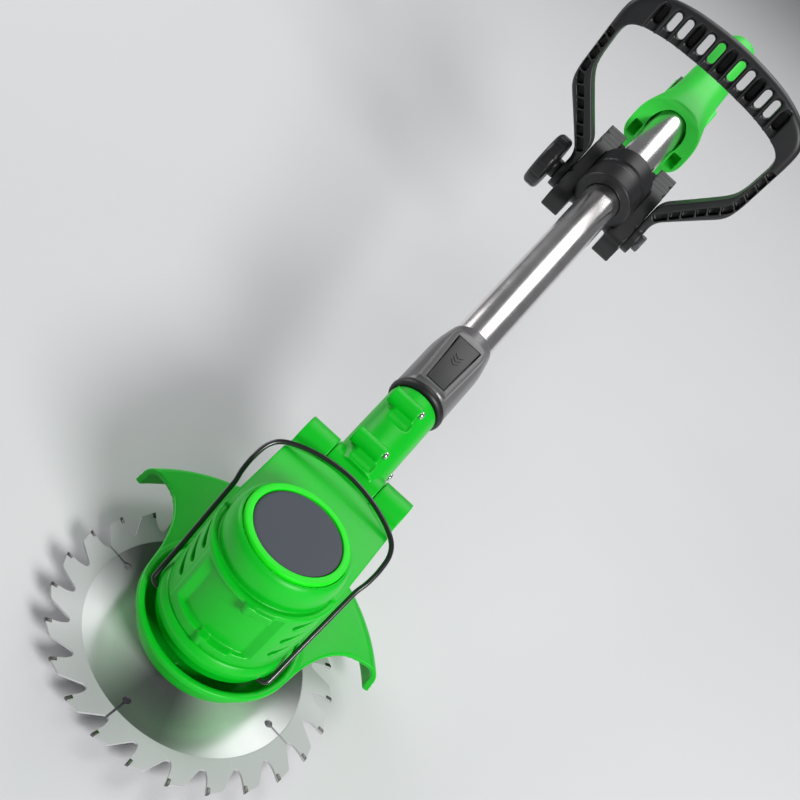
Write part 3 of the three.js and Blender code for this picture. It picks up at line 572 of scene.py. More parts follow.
GREEN = plastic("green_plastic", (0.002, 0.58, 0.018), 0.36, gloss=0.34)
BRIGHT_GREEN = plastic("bright_green_plastic", (0.002, 0.86, 0.004), 0.42, gloss=0.35)
GRIP_GREEN = plastic("grip_green_plastic", (0.04, 0.78, 0.06), 0.44, gloss=0.4, slot="green_plastic")
SLATE = plastic("slate_plastic", (0.055, 0.066, 0.082), 0.55, grain=0.03)
BLACK = plastic("black_plastic", (0.012, 0.012, 0.013), 0.42, grain=0.03, worn=2.2)
BUTTON_GREY = plastic("button_grey_plastic", (0.045, 0.045, 0.046), 0.4, worn=1.6, slot="black_plastic")
GUNMETAL = plastic("gunmetal_plastic", (0.15, 0.145, 0.147), 0.3, grain=0.004, coat=0.3, worn=1.6)
CHROME = metal("chrome_tube", (0.9, 0.87, 0.86), 0.23, (8, 0.2, 8), 0.002, 0.03)
STEEL = metal("steel_tube", (0.55, 0.55, 0.55), 0.25, (6, 0.4, 6))
DARK_STEEL = metal("dark_steel", (0.16, 0.16, 0.17), 0.38, (3, 3, 3), 0.01)
BRIGHT = metal("bright_screws", (0.75, 0.76, 0.78), 0.16, (2, 2, 2), 0.004)
CARBIDE = metal("carbide", (0.17, 0.16, 0.15), 0.34, (2, 2, 2), 0.01, slot="dark_steel")
BLADE = blade_steel()
WIRE_BLACK = plastic("black_wire", (0.012, 0.012, 0.013), 0.22, grain=0.004, coat=0.7)
COPPER = metal("copper_winding", (0.72, 0.33, 0.16), 0.32, (2, 2, 12), 0.02)
FERRITE = metal("magnet_ferrite", (0.07, 0.07, 0.075), 0.55, (2, 2, 2), 0.01)
CELL_WRAP = plastic("cell_wrap", (0.05, 0.16, 0.42), 0.35, grain=0.004)


# ---- Saw blade and spindle -------------------------------------------------------------------
TEETH = 24
FIRST_TIP = 39  # degrees
TIP_RADIUS = 75
TIP_HALF = 0.95  # half of a carbide tip's thickness
PLATE_HALF = 0.7  # half of the plate's thickness at the rim
FACE_HALF = 0.6  # and at the ground disc
BLADE_BORE = 10
FIRST_SLOT = -7.2  # degrees
SPINDLE_END = -9
SPINDLE_BORE = 5.3  # the hole in each flange and in the nut


def polar(radius, angle):
    return radius * math.cos(math.radians(angle)), radius * math.sin(math.radians(angle))


def blade_outline():
    """Each tooth from its tip: the land, the back, the gullet and the next tooth's face."""
    made = []
    for tooth in range(TEETH):
        tip = FIRST_TIP + tooth * 360 / TEETH
        tooth_points = [
            (*polar(TIP_RADIUS, tip), 0.25), (*polar(TIP_RADIUS - 1.8, tip + 6.6), 1),
            (*polar(65.6, tip + 11.6), 2.5), (*polar(63.3, tip + 13.4), 2),
            (*polar(63.6, tip + 15.6), 2.4), (*polar(67.5, tip + 16), 1.6)]
        made += tooth_points
    return rounded(made, 1, 4)


def expansion_slot(angle):
    slot = block(50, 66, -0.6, 0.6, -3, 3, edge=0)
    hole = bar(2.1, -3, 3, (50.5, 0), "z", 24)
    cutter = fused(slot, hole)
    cutter.data.transform(Matrix.Rotation(math.radians(angle), 4, "Z"))
    return cutter


def carbide_tip(angle):
    """A brazed tip on the tooth's face, a little wider than the plate."""
    outline = [polar(TIP_RADIUS, 0), polar(74.7, 1.3), polar(71.9, 1.7), polar(71.7, 0.44)]
    tip = softened(prism(outline, -TIP_HALF, TIP_HALF), 0.12)
    tip.data.transform(Matrix.Rotation(math.radians(angle), 4, "Z"))
    return tip


def joined(first, *others):
    """Several meshes made one object, without a boolean."""
    work = bmesh.new()
    for obj in (first, *others):
        work.from_mesh(obj.data)
    work.to_mesh(first.data)
    work.free()
    for obj in others:
        bpy.data.objects.remove(obj)
    return first


def hexagon(across, low, high, axis="z", bore=0.0):
    """A hexagonal nut with its corners turned off at both ends."""
    corner = across / math.sqrt(3)
    outline = [(corner * math.cos(k * math.pi / 3), corner * math.sin(k * math.pi / 3)) for k in range(6)]
    plane = {"z": "xy", "x": "yz", "y": "xz"}[axis]
    nut = prism(outline, low, high, plane)
    chamfer = corner - across / 2
    crown = turned([(0, low), (across / 2, low), (corner, low + chamfer * 0.6),
                    (corner, high - chamfer * 0.6), (across / 2, high), (0, high)], 72, axis)
    nut = common(nut, crown)
    if bore:
        nut = cut(nut, bar(bore, low - 1, high + 1, axis=axis, edge=0))
    return softened(nut, 0.15, 2, 20)


def screw_head(radius, tall, seat, place, axis, direction=1):
    """A pan head with a cross recess and a stub of shank; `direction` is the way it faces."""
    rim = direction * tall
    profile = rounded([(0, seat - rim * 1.6, 0), (radius * 0.5, seat - rim * 1.6, 0),
                       (radius * 0.5, seat - rim, 0), (radius, seat - rim, 0.2),
                       (radius, seat - rim * 0.4, 0.6), (radius * 0.62, seat, 0.8), (0, seat, 0)], 0.2, 4)
    head = turned(profile, 40, axis)
    long, thin, deep = radius * 0.62, radius * 0.16, tall * 0.75
    low, high = sorted((seat - direction * deep, seat + direction))
    for reach in ((long, thin), (thin, long)):
        (a, b) = reach
        sides = {"z": (-a, a, -b, b, low, high), "x": (low, high, -a, a, -b, b)}[axis]
        head = cut(head, block(*sides, edge=0))
    u, v = place
    shift = {"x": (0, u, v), "z": (u, v, 0)}[axis]
    head.data.transform(Matrix.Translation(Vector(shift) * MM))
    return softened(head, 0.08, 1, 40)


def build_blade():
    plate = prism(blade_outline(), -PLATE_HALF, PLATE_HALF)
    bore = bar(BLADE_BORE, -3, 3, axis="z", edge=0)
    plate = cut(plate, bore, *[expansion_slot(FIRST_SLOT - 90 * k) for k in range(4)])
    faces = [turned(rounded([(11.5, low), (RIM_RADIUS, low), (RIM_RADIUS, high), (11.5, high)], 0.05, 1), 144)
             for low, high in ((FACE_HALF, 2), (-2, -FACE_HALF))]
    plate = softened(cut(plate, *faces), 0.12, 1, 50)
    piece(plate, "saw_blade_disc", HEAD, "blade", BLADE, ["saw_blade"], 25)
    tips = joined(*[carbide_tip(FIRST_TIP + k * 360 / TEETH) for k in range(TEETH)])
    piece(tips, "carbide_tips", HEAD, "blade", CARBIDE)
    end = SPINDLE_END
    spindle = turned(rounded([(0, end, 0), (4.4, end), (5, end + 0.8), (5, 88), (4.4, 88.6), (0, 88.6, 0)],
                             0.3, 2), 48)
    spindle = cut(spindle, block(-5, 5, -0.6, 0.6, end - 1, end + 1.4, edge=0))
    piece(spindle, "spindle_shaft", HEAD, "blade", DARK_STEEL, ["spindle"])
    outer = turned(rounded([(SPINDLE_BORE, -3.4), (12, -3.4, 1), (18, -2), (18, -1.05),
                            (SPINDLE_BORE, -1.05)], 0.3), 96)
    outer = cut(outer, *[bar(1.5, -5, -2.2, polar(9.6, a), "z", 24, 0) for a in (0, 180)])
    piece(outer, "clamping_flange", HEAD, "blade", DARK_STEEL, ["outer_flange"])
    inner = turned(rounded([(SPINDLE_BORE, -0.6), (9.7, -0.6), (9.7, 1.05), (19, 1.05), (19, 2.6),
                            (11, 5.4, 2), (SPINDLE_BORE, 5.4)], 0.3), 96)
    piece(inner, "backing_flange", HEAD, "blade", DARK_STEEL, ["inner_flange"])
    nut = hexagon(14.4, -8.3, -3.7, bore=SPINDLE_BORE)
    piece(nut, "arbor_lock_nut", HEAD, "blade", BRIGHT, ["arbor_nut"])


# ---- Motor head ------------------------------------------------------------------------------
BARREL_RADIUS, BARREL_FOOT, BARREL_TOP = 33.4, 39, 97
CAP_BORE, CAP_DISC, CAP_RING = 22.5, 22.2, 26.2
YOKE_HALF, YOKE_CORNER, YOKE_CREST = 33.2, 54, 78  # the rear edge bows out towards the crest
HINGE_Y, HINGE_Z, KNUCKLE = 81.4, 72.4, 11.5
NECK_ROOM = 17  # radius kept clear for the neck to tilt in
ARM_INNER = 15.6
PIN_RADIUS, PIN_HOLE, PIN_REACH = 4, 4.3, 31
WINDOW_FLOOR, WINDOW_HALF, CHEEK_HALF = 30.6, 16.5, 21.6
WINDOW_LOW, WINDOW_HIGH = 46, 77.5
AIR_SLOT_HEIGHTS = (75.5, 64.5, 53.5)
WIRE_RADIUS, WIRE_LEAN = 1.3, 52.9  # the wire guard lies back by this many degrees
WIRE_PIVOT = (-17, 31)


def barrel():
    """The round housing with its rolled shoulder, and the room inside it."""
    shoulder = [(26.6 + 3.4 * math.cos(math.radians(a)), 88 + 8 * math.sin(math.radians(a)))
                for a in range(0, 91, 10)]
    skin = turned([(0, BARREL_FOOT), (BARREL_RADIUS, BARREL_FOOT), (BARREL_RADIUS, 79.6), (33, 80.3),
                   (32.2, 80.6), (31, 80.6), (29.8, 79.9), (29.2, 80.4), (29.3, 81.6), (30, 84.4), *shoulder,
                   (26.5, BARREL_TOP), (0, BARREL_TOP)], 144)
    hollow = turned([(0, 38), (31, 38), (31, 77), (27.6, 80), (27.6, 90), (22.8, 90), (22.8, 100),
                     (0, 100)], 96)
    return skin, hollow


def yoke():
    """The block that reaches back from the barrel to the hinge arms."""
    half = YOKE_HALF
    bulge = [(half - 2 * half * t, YOKE_CORNER + 2 * (YOKE_CREST - YOKE_CORNER) * t * (1 - t))
             for t in [k / 20 for k in range(21)]]
    plan = prism([(-half, 0), (half, 0), *bulge], 40, 90)
    side = prism(rounded([(0, 46, 0), (0, 82, 0), (59, 83.5, 4), (67.5, 83.5, 5), (67.5, 66, 6),
                          (48, 60.5, 8), (34, 46, 4)], 3, 6), -half, half, "yz")
    return common(plan, side)


def hinge_arm(inner, outer):
    reach = prism([(44, HINGE_Z - KNUCKLE + 1), (HINGE_Y, HINGE_Z - KNUCKLE + 0.05),
                   (HINGE_Y, HINGE_Z + 4), (44, HINGE_Z + 4)], inner, outer, "yz")
    knuckle = bar(KNUCKLE, inner, outer, (HINGE_Y, HINGE_Z), "x", 64, 0)
    return reach, knuckle


def ring_of(radius, low, high):
    return bar(radius, low, high, axis="z", segments=144, edge=0)


def front_window():
    """A pocket with a flat cheek either side of a round floor."""
    floor_edge = -math.sqrt(WINDOW_FLOOR**2 - WINDOW_HALF**2)
    cheek_edge = -math.sqrt(BARREL_RADIUS**2 - CHEEK_HALF**2)
    half = [(WINDOW_HALF, -20), (WINDOW_HALF, floor_edge), (CHEEK_HALF, cheek_edge), (CHEEK_HALF, -40)]
    plan = half + [(-x, y) for x, y in half[::-1]]
    return cut(prism(plan, WINDOW_LOW, WINDOW_HIGH), ring_of(WINDOW_FLOOR, 40, 80))


def window_groove():
    """A fine score line that runs round the window's floor."""
    score = prism(rectangle(-13, 15, -36, -20), 66.6, 67.4)
    return cut(score, ring_of(WINDOW_FLOOR - 0.8, 60, 70))


def latch_tab(x0, x1, low, high):
    """A tab that stands out of the wall, with a curled end on the left."""
    band = prism(rectangle(x0, x1, -40, -20), low, high)
    curl = bar(2.7, low - 1.4, high + 0.4, polar(32.9, math.degrees(math.atan2(-30, x0))), "z", 32, 0)
    tab = common(band, cut(ring_of(35.4, 30, 90), ring_of(30.5, 29, 91)))
    return fused(tab, curl)


def air_slots():
    """Teardrop slots in the barrel's flanks, slanted, three on each side."""
    slots = []
    for side in (-1, 1):
        for height in AIR_SLOT_HEIGHTS:
            drop = arc((-4.6, 0), 2.1, 90, 270, 8) + [(5.2, -1.0), (7.6, -0.3), (7.6, 0.3), (5.2, 1.0)]
            slot = prism(drop, 24, 40, "yz")
            slot.data.transform(Matrix.Rotation(math.radians(24), 4, "X"))
            slot.data.transform(Matrix.Rotation(math.radians(-28), 4, "Z"))
            slot.data.transform(Matrix.Translation((0, 0, height * MM)))
            slots.append(slot if side > 0 else mirrored_x(slot))
    return slots


def motor_housing():
    skin, hollow = barrel()
    arms = [*hinge_arm(ARM_INNER, YOKE_HALF), *hinge_arm(-YOKE_HALF, -ARM_INNER)]
    body = fused(skin, yoke(), *arms)
    hollow = cut(hollow, prism(rectangle(-24, 24, -40, -25.2), 37, 79.5))
    seat = pipe(CAP_DISC, 26.5, 94, 99, "z")
    under_yoke = prism(rectangle(-29, 29, 37, 52), 40, 79)
    body = cut(body, hollow, seat, front_window(), window_groove(), under_yoke, *air_slots())
    body = fused(body, latch_tab(5, 17, 75.6, 79.6), latch_tab(-1, 13, 42.4, 46.4))
    neck_room = bar(NECK_ROOM, -ARM_INNER, ARM_INNER, (HINGE_Y, HINGE_Z), "x", 64, 0)
    pin_hole = bar(PIN_HOLE, -PIN_REACH - 0.5, PIN_REACH + 0.5, (HINGE_Y, HINGE_Z), "x", 32, 0)
    return cut(body, neck_room, pin_hole)


GUARD_TRIM = 0.9955  # the remeshed guard is brought back to its width
GUARD_COLLAR = 42.4  # radius of the guard's round upper edge
GUARD_BACK = 99  # radius that trims the guard at the rear
GUARD_SCREWS = [polar(26.5, 30 + 120 * k) for k in range(3)]


def guard_height(radius):
    """The guard's sloping upper face."""
    return 26.4 - 0.118 * (radius - GUARD_COLLAR)


def guard_profile():
    """Half of the guard's section: the seat, the sloping plate and the rolled skirt."""
    centre = (84, guard_height(86) - 9.6)
    over = [(centre[0] + 9 * math.cos(a), centre[1] + 9.2 * math.sin(a))
            for a in [math.radians(d) for d in range(10, 91, 8)]]
    under = [(centre[0] + 5.8 * math.cos(a), centre[1] + 6.4 * math.sin(a))
             for a in [math.radians(d) for d in range(90, 9, -8)]]
    rise = rounded([(20, 8), (33, 8, 2), (37.5, 13, 3), (40, 22.6, 3),
                    (43.4, guard_height(43.4) - 2.4, 1), under[0]], 2, 5, closed=False)
    lip = [(90.4, 4.7), (91.2, 3.5), (93.1, 3.5), (94, 4.7)]
    back = rounded([over[-1], (42.8, guard_height(GUARD_COLLAR), 0.6), (GUARD_COLLAR, 27.5, 0.8),
                    (39.4, 27.5, 0.8), (38, 23.9, 2), (35.2, 15, 3), (32, 10.6, 1.5), (20, 10.6)],
                   1, 4, closed=False)
    return [*rise, *under[1:], *lip, *over, *back[1:]]


def guard_plan():
    """The guard from above: round in front, with two horns that sweep out to the rear."""
    half = spline([(42.2, -5), (45, 12), (50.5, 28), (59, 40.5), (70, 46.5), (83, 49)], 8)
    front = arc((0, 0), 42.5, 187, 353, 64)
    back = arc((0, 0), GUARD_BACK, 30.2, 149.8, 40)
    return front + half[1:] + back + [(-x, y) for x, y in half[:0:-1]]


def build_head():
    housing = moulded(motor_housing(), 0.48, 5, 0.3)
    piece(housing, "motor_housing_shell", HEAD, "head", GREEN, ["motor_housing"], 60)
    ring = turned(rounded([(CAP_BORE, 94.4), (CAP_RING, 94.4), (CAP_RING, 98, 0.9), (CAP_BORE, 98, 0.5)],
                          0.3), 144)
    piece(ring, "cap_trim_ring", HEAD, "head", BRIGHT_GREEN, ["cap_ring"])
    disc = turned(rounded([(0, 93.4, 0), (CAP_DISC, 93.4), (CAP_DISC, 97.3, 0.5), (20.8, 97.6, 1),
                           (0, 97.6, 0)], 0.4), 144)
    piece(disc, "cap_badge_disc", HEAD, "head", SLATE, ["cap_disc"])
    base = turned(rounded([(11.3, 24.3), (33, 24.3), (33, 29.5, 1.5), (35.4, 31), (35.4, 35.4, 1),
                           (33.4, 38.4, 1), (31, 38.4), (31, 27.6), (11.3, 27.6)], 0.5), 144)
    base = cut(base, bar(WIRE_RADIUS + 0.3, -60, 60, WIRE_PIVOT, "x", 24, 0))
    piece(base, "motor_base_ring", HEAD, "head", GREEN, ["motor_base"])
    guard = common(turned(guard_profile(), 160), prism(guard_plan(), 0, 40))
    guard = cut(guard, *[bar(1.9, 0, 24, place, "z", 24, 0) for place in GUARD_SCREWS])
    guard = moulded(guard, 0.6, 4, 0.4)
    guard.data.transform(Matrix.Diagonal((GUARD_TRIM, 1, 1, 1)))
    piece(guard, "blade_guard_shell", HEAD, "head", GREEN, ["blade_guard"], 60)
    heads = [screw_head(3.1, 2, 5.6, place, "z", -1) for place in GUARD_SCREWS]
    screw_heads("guard", heads, HEAD, "head")


def build_motor():
    """What shows of the motor through the air slots and under the base."""
    for node, look in (("motor_can", STEEL), ("motor_end_bell", BLACK), ("upper_bearing", BRIGHT),
                           ("lower_bearing", BRIGHT), ("stator_magnet_left", FERRITE),
                           ("stator_magnet_right", FERRITE), ("rotor_core", DARK_STEEL),
                           ("rotor_winding", COPPER), ("commutator", COPPER)):
        refinished(node, look)


def build_wire_guard():
    """The bail, drawn flat as (x, reach from its pivot) and then leant back."""
    half = [(27, 0), (31.5, 0), (34.3, 1.2), (35.2, 4.5), (36, 22), (37.2, 42), (38, 56), (38.4, 60),
            (39.3, 64), (39.8, 68), (40, 74), (39, 82), (35, 88), (26, 92.8), (14, 96.2)]
    flat = [(-x, w) for x, w in half] + [(0, 97.7)] + [(x, w) for x, w in reversed(half)]
    lean = math.radians(WIRE_LEAN)
    y, z = WIRE_PIVOT
    path = [(x, y + w * math.sin(lean), z + w * math.cos(lean)) for x, w in spline(flat, 6)]
    bail = wire(path, WIRE_RADIUS)
    piece(bail, "wire_guard_bail", HEAD, "wire_guard", WIRE_BLACK, ["wire_guard"], 60)


# ---- Neck and lower pole ---------------------------------------------------------------------
NECK_SCREWS = (98, 132)
NECK_RADIUS, NECK_START, NECK_END = 14.7, 84, 145
EYE_RADIUS, EYE_HALF = 11.1, 15.3
SIDE_SCREW = (107, -7.5)
INNER_TUBE_BORE, INNER_TUBE_RADIUS = 9.9, 11
TUBE_BORE, TUBE_RADIUS = 11.3, 12.5
BOSS_RADIUS, BOSS_HEIGHT, BOSS_LEFT, BOSS_RIGHT, BOSS_SCREW = 5, 14.6, -13, 5, 16.6


def build_neck():
    shell = turned(rounded([(0, NECK_START, 0), (NECK_RADIUS, NECK_START, 1), (NECK_RADIUS, NECK_END, 1.4),
                            (0, NECK_END, 0)], 1, 5), 96, "y")
    eye = bar(EYE_RADIUS, -EYE_HALF, EYE_HALF, (HINGE_S, 0), "x", 64, 0)
    scoops = [bar(8, BOSS_LEFT, BOSS_RIGHT + 1, (s - 9, BOSS_HEIGHT + 6), "x", 48, 0) for s in NECK_SCREWS]
    bosses = [bar(BOSS_RADIUS, BOSS_LEFT, BOSS_RIGHT, (s, BOSS_HEIGHT), "x", 48, 0) for s in NECK_SCREWS]
    neck = fused(cut(fused(shell, eye), *scoops), *bosses)
    socket = bar(INNER_TUBE_RADIUS + 0.3, 111, 146, axis="y", segments=64, edge=0)
    pin_hole = bar(PIN_HOLE, -30, 30, (HINGE_S, 0), "x", 40, 0)
    holes = [bar(1.8, BOSS_LEFT + 2, BOSS_RIGHT + 1, (s, BOSS_SCREW), "x", 24, 0) for s in NECK_SCREWS]
    side_hole = bar(3.2, 12.4, 20, SIDE_SCREW, "x", 32, 0)
    neck = moulded(cut(neck, socket, pin_hole, side_hole, *holes), 0.5, 3, 0.6)
    piece(neck, "neck_shells", POLE, "lower_pole", GREEN, ["neck_left", "neck_right"], 60)
    heads = [screw_head(2.4, 2, BOSS_RIGHT + 2.3, (s, BOSS_SCREW), "x") for s in NECK_SCREWS]
    heads.append(screw_head(2.6, 2, 16.4, SIDE_SCREW, "x"))
    screw_heads("neck", heads, POLE, "lower_pole")
    tube = pipe(INNER_TUBE_BORE, INNER_TUBE_RADIUS, 112, 476)
    piece(tube, "telescopic_inner_tube", POLE, "lower_pole", STEEL, ["inner_tube"])
    pin = bar(PIN_RADIUS, -PIN_REACH, PIN_REACH, (HINGE_S, 0), "x", 64, 0.6)
    piece(pin, "head_hinge_pin", POLE, "lower_pole", BRIGHT, ["hinge_pin"])


# ---- Pole and collar -------------------------------------------------------------------------
BUTTON_FRONT, BUTTON_REAR = 154, 190
BUTTON_LOW, BUTTON_TOP = 14.6, 18
COLLAR_BORE, COLLAR_RADIUS = 12.7, 16.3
POCKET_FLOOR = 11.6


def button_plan(air):
    """The button from above, wider to the rear, with some air round it."""
    return [(-5.6 - air, BUTTON_FRONT - air), (5.6 + air, BUTTON_FRONT - air),
            (7.4 + air, BUTTON_REAR + air), (-7.4 - air, BUTTON_REAR + air)]


def chevron(at):
    """A raised arrow mark that points to the head."""
    outline = [(0, at), (2.7, at + 2.2), (2.7, at + 3.1), (0, at + 0.9), (-2.7, at + 3.1), (-2.7, at + 2.2)]
    return softened(prism(outline, BUTTON_TOP - 1, BUTTON_TOP + 0.35), 0.12, 2)


def build_pole():
    ring = turned(rounded([(11.5, 145.5), (15.8, 145.5, 0.8), (16.8, 147.2, 0.8), (16.8, 149.2, 0.5),
                           (16.2, 150), (11.5, 150)], 0.3), 128, "y")
    piece(ring, "collar_mouth_ring", POLE, "pole", BLACK, ["collar_ring"])
    skin = turned(rounded([(COLLAR_BORE, 150.3), (15.9, 150.3, 0.4), (COLLAR_RADIUS, 152, 1),
                           (COLLAR_RADIUS, 189, 6), (13.9, 204, 2), (13.4, 206, 0.4), (COLLAR_BORE, 206)],
                          0.4, 6), 128, "y")
    deck = loft([(152, 9.8, 17.6, 8, 6), (168, 10.5, 18, 8, 6), (186, 11.2, 18.2, 8, 6),
                 (193, 10.9, 17, 8, 6), (198, 10, 14.8, 8, 6)], 64, 4)
    body = moulded(fused(skin, deck), 0.55, 4, 0.6)
    pocket = prism(button_plan(0.8), POCKET_FLOOR, 30)
    body = cut(body, bar(COLLAR_BORE, 140, 210, axis="y", segments=96, edge=0), pocket)
    piece(body, "collar_shell", POLE, "pole", GUNMETAL, ["collar_body"], 40)
    button = prism(button_plan(0), BUTTON_LOW, BUTTON_TOP)
    button = softened(button, 0.7, 3)
    button = joined(button, *[chevron(at) for at in (171, 173.6, 176.2)])
    piece(button, "collar_release_button", POLE, "collar_button", BUTTON_GREY,
          ["collar_button"])
    tube = pipe(TUBE_BORE, TUBE_RADIUS, 160, 566, segments=160)
    piece(tube, "chrome_outer_tube", POLE, "pole", CHROME, ["outer_tube"])


# ---- Rear handle -----------------------------------------------------------------------------
GRIP_SECTIONS = [
    (470, 25.3, 17.2, -24, 2.8), (486, 24.8, 17.4, -24.4, 2.8), (500, 22.2, 17.4, -25, 2.7),
    (515, 19.4, 17, -25.6, 2.5), (530, 17.8, 16.4, -26, 2.4), (550, 17, 15.8, -26, 2.3),
    (570, 16.6, 14.6, -25.4, 2.2), (590, 15.8, 11.6, -25, 2.2), (610, 15.2, 8, -25.6, 2.2),
    (630, 14.8, 4.6, -26.6, 2.2), (644, 13.8, 1.6, -26.4, 2.2), (650, 11.4, -1.6, -24.2, 2.2),
    (654, 8.2, -5, -21.2, 2.1), (656, 4, -9, -17, 2)]
HANDLE_SCREWS = [(499, -17.5), (561, -17.5), (636, -11)]
TRIGGER_PIVOT = (572, -23.4)
LOCK_PLACE = (541, -3)
SHOE_HALF = 20
TUBE_ROOM = 12.8  # bore of the pieces that hold the outer tube


def stadium(length, width, steps=10):
    """A round-ended slot's outline, along the first axis."""
    reach = (length - width) / 2
    return arc((reach, 0), width / 2, -90, 90, steps) + arc((-reach, 0), width / 2, 90, 270, steps)


def shifted(outline, u, v):
    return [(x + u, y + v) for x, y in outline]


def handle_mark():
    """A short curved groove on the grip's left side."""
    disc = bar(6.5, -40, -17.2, (525, 4), "x", 40, 0)
    crescent = cut(disc, bar(5.6, -41, -10, (525.6, 4), "x", 40, 0))
    return common(crescent, prism(rectangle(524, 536, 4, 20), -40, -10, "yz"))


def handle_shells():
    """The grip on its battery shoe, slanted in front, with room for what it holds."""
    grip = loft(GRIP_SECTIONS, 72, 4)
    shoe = softened(prism(rounded(rectangle(-SHOE_HALF, SHOE_HALF, 476, 566), 6, 6), -28, -12), 1)
    slant = prism(rounded([(465, 40, 0), (500, 40, 0), (496, 17.3, 2), (489, 14.4, 2), (487, 12, 3),
                           (481, 2, 8), (474, -8, 4), (473, -40, 0), (465, -40, 0)], 2, 6), -40, 40, "yz")
    pockets = [block(x - 3.6, x + 3.6, 465, 486, -15, -4, 0.8) for x in (-18, 18)]
    tube_bore = fused(bar(TUBE_ROOM, 460, 567, axis="y", segments=96, edge=0),
                      bar(14, 460, 489.5, axis="y", segments=96, edge=0))
    slot = prism(rectangle(-6.3, 6.3, 565.5, 606), -40, 1)
    contacts = prism(rectangle(-15, 15, 502, 532), -40, -20)
    lock_hole = prism(shifted(stadium(16.8, 8.8), *LOCK_PLACE), -40, -10, "yz")
    screw_holes = [bar(3.4, 10.4, 40, place, "x", 32, 0) for place in HANDLE_SCREWS]
    return cut(fused(grip, shoe), slant, *pockets, tube_bore, slot, contacts, lock_hole, handle_mark(),
               *screw_holes)


def build_handle():
    shell = moulded(handle_shells(), 0.62, 3, 0.5)
    piece(shell, "rear_handle_shells", POLE, "pole", GRIP_GREEN,
          ["handle_left", "handle_right"], 60)
    heads = [screw_head(3.1, 2, 12.7, place, "x") for place in HANDLE_SCREWS]
    screw_heads("handle", heads, POLE, "pole")
    block_body = block(-14.6, 14.6, 502.4, 531.6, -27.8, -21.5, 0.5)
    block_body = cut(block_body, *[block(x - 1.2, x + 1.2, 508, 540, -30, -24, 0) for x in (-8, 0, 8)])
    piece(block_body, "terminal_socket", POLE, "pole", BLACK, ["terminal_block"])
    switch = block(-5.6, 5.6, 582, 602, -12.6, 0, 0.6)
    piece(switch, "power_microswitch", POLE, "pole", BLACK, ["power_switch"])
    side = rounded([(569, -19.6, 0.6), (601, -19.6, 1), (604, -23, 2), (603, -36, 3), (595, -37, 2),
                    (583, -31.4, 8), (569, -29, 1.5)], 1, 6)
    trigger = prism(side, -5.6, 5.6, "yz")
    ribs = [bar(0.9, -6, 6, (597 - 3.4 * k, -37.6 + 1.5 * k), "x", 20, 0) for k in range(4)]
    trigger = cut(softened(trigger, 1.1, 3), *ribs)
    trigger = softened(cut(trigger, bar(1.9, -10, 10, TRIGGER_PIVOT, "x", 32, 0)), 0.15, 1)
    piece(trigger, "trigger_lever", POLE, "trigger", BLACK, ["trigger"])
    pivot = bar(1.6, -6, 6, TRIGGER_PIVOT, "x", 32, 0.3)
    piece(pivot, "trigger_pivot_pin", POLE, "pole", STEEL, ["trigger_pin"])
    lock = softened(prism(shifted(stadium(16, 8, 14), *LOCK_PLACE), -18.6, -15.2, "yz"), 0.8, 3)
    lock = cut(lock, *[block(-19.4, -18.1, 534.6 + 3.2 * k, 535.6 + 3.2 * k, -6, 0, 0) for k in range(5)])
    piece(lock, "lock_off_slider", POLE, "lock_off_button", BLACK, ["lock_off_button"])


# ---- Battery ---------------------------------------------------------------------------------
BATTERY_HALF, BATTERY_FRONT, BATTERY_REAR = 20.4, 479, 560
BATTERY_LOW, BATTERY_SEAM, BATTERY_TOP = -70, -33, -28.6


def build_battery():
    plan = rounded(rectangle(-BATTERY_HALF, BATTERY_HALF, BATTERY_FRONT, BATTERY_REAR), 6, 8)
    tray = softened(prism(plan, BATTERY_LOW, BATTERY_SEAM), 1.6, 4)
    grooves = [prism(rectangle(x - 0.7, x + 0.7, 488, 551), h, h + 1.4)
               for x in (-BATTERY_HALF, BATTERY_HALF) for h in (-60, -55, -50, -45)]
    tray = softened(cut(tray, *grooves), 0.3, 2, 50)
    piece(tray, "battery_tray_shell", POLE, "battery", BLACK, ["battery_tray"])
    lid = softened(prism(plan, BATTERY_SEAM + 0.3, BATTERY_TOP), 1.2, 3)
    lid = softened(cut(lid, block(-12, 12, 500, 534, -32.6, -27, 0)), 0.3, 2, 50)
    piece(lid, "battery_lid_shell", POLE, "battery", BLACK, ["battery_lid"])
    latch = softened(prism(rounded(rectangle(-9, 9, 477.6, 479.4), 0.4), -47, -36), 0.5, 2)
    piece(latch, "battery_release_tab", POLE, "battery", BUTTON_GREY)
    for k in range(4):
        refinished(f"battery_cell_{k + 1}", CELL_WRAP)


# ---- Clamp and loop handle -------------------------------------------------------------------
CLAMP_S, CLAMP_H = 397, -20
BLOCK_INNER, BLOCK_OUTER = 16, 29.4
BOLT_ROOM = 3.3  # radius of the hole that the clamp's bolt runs through


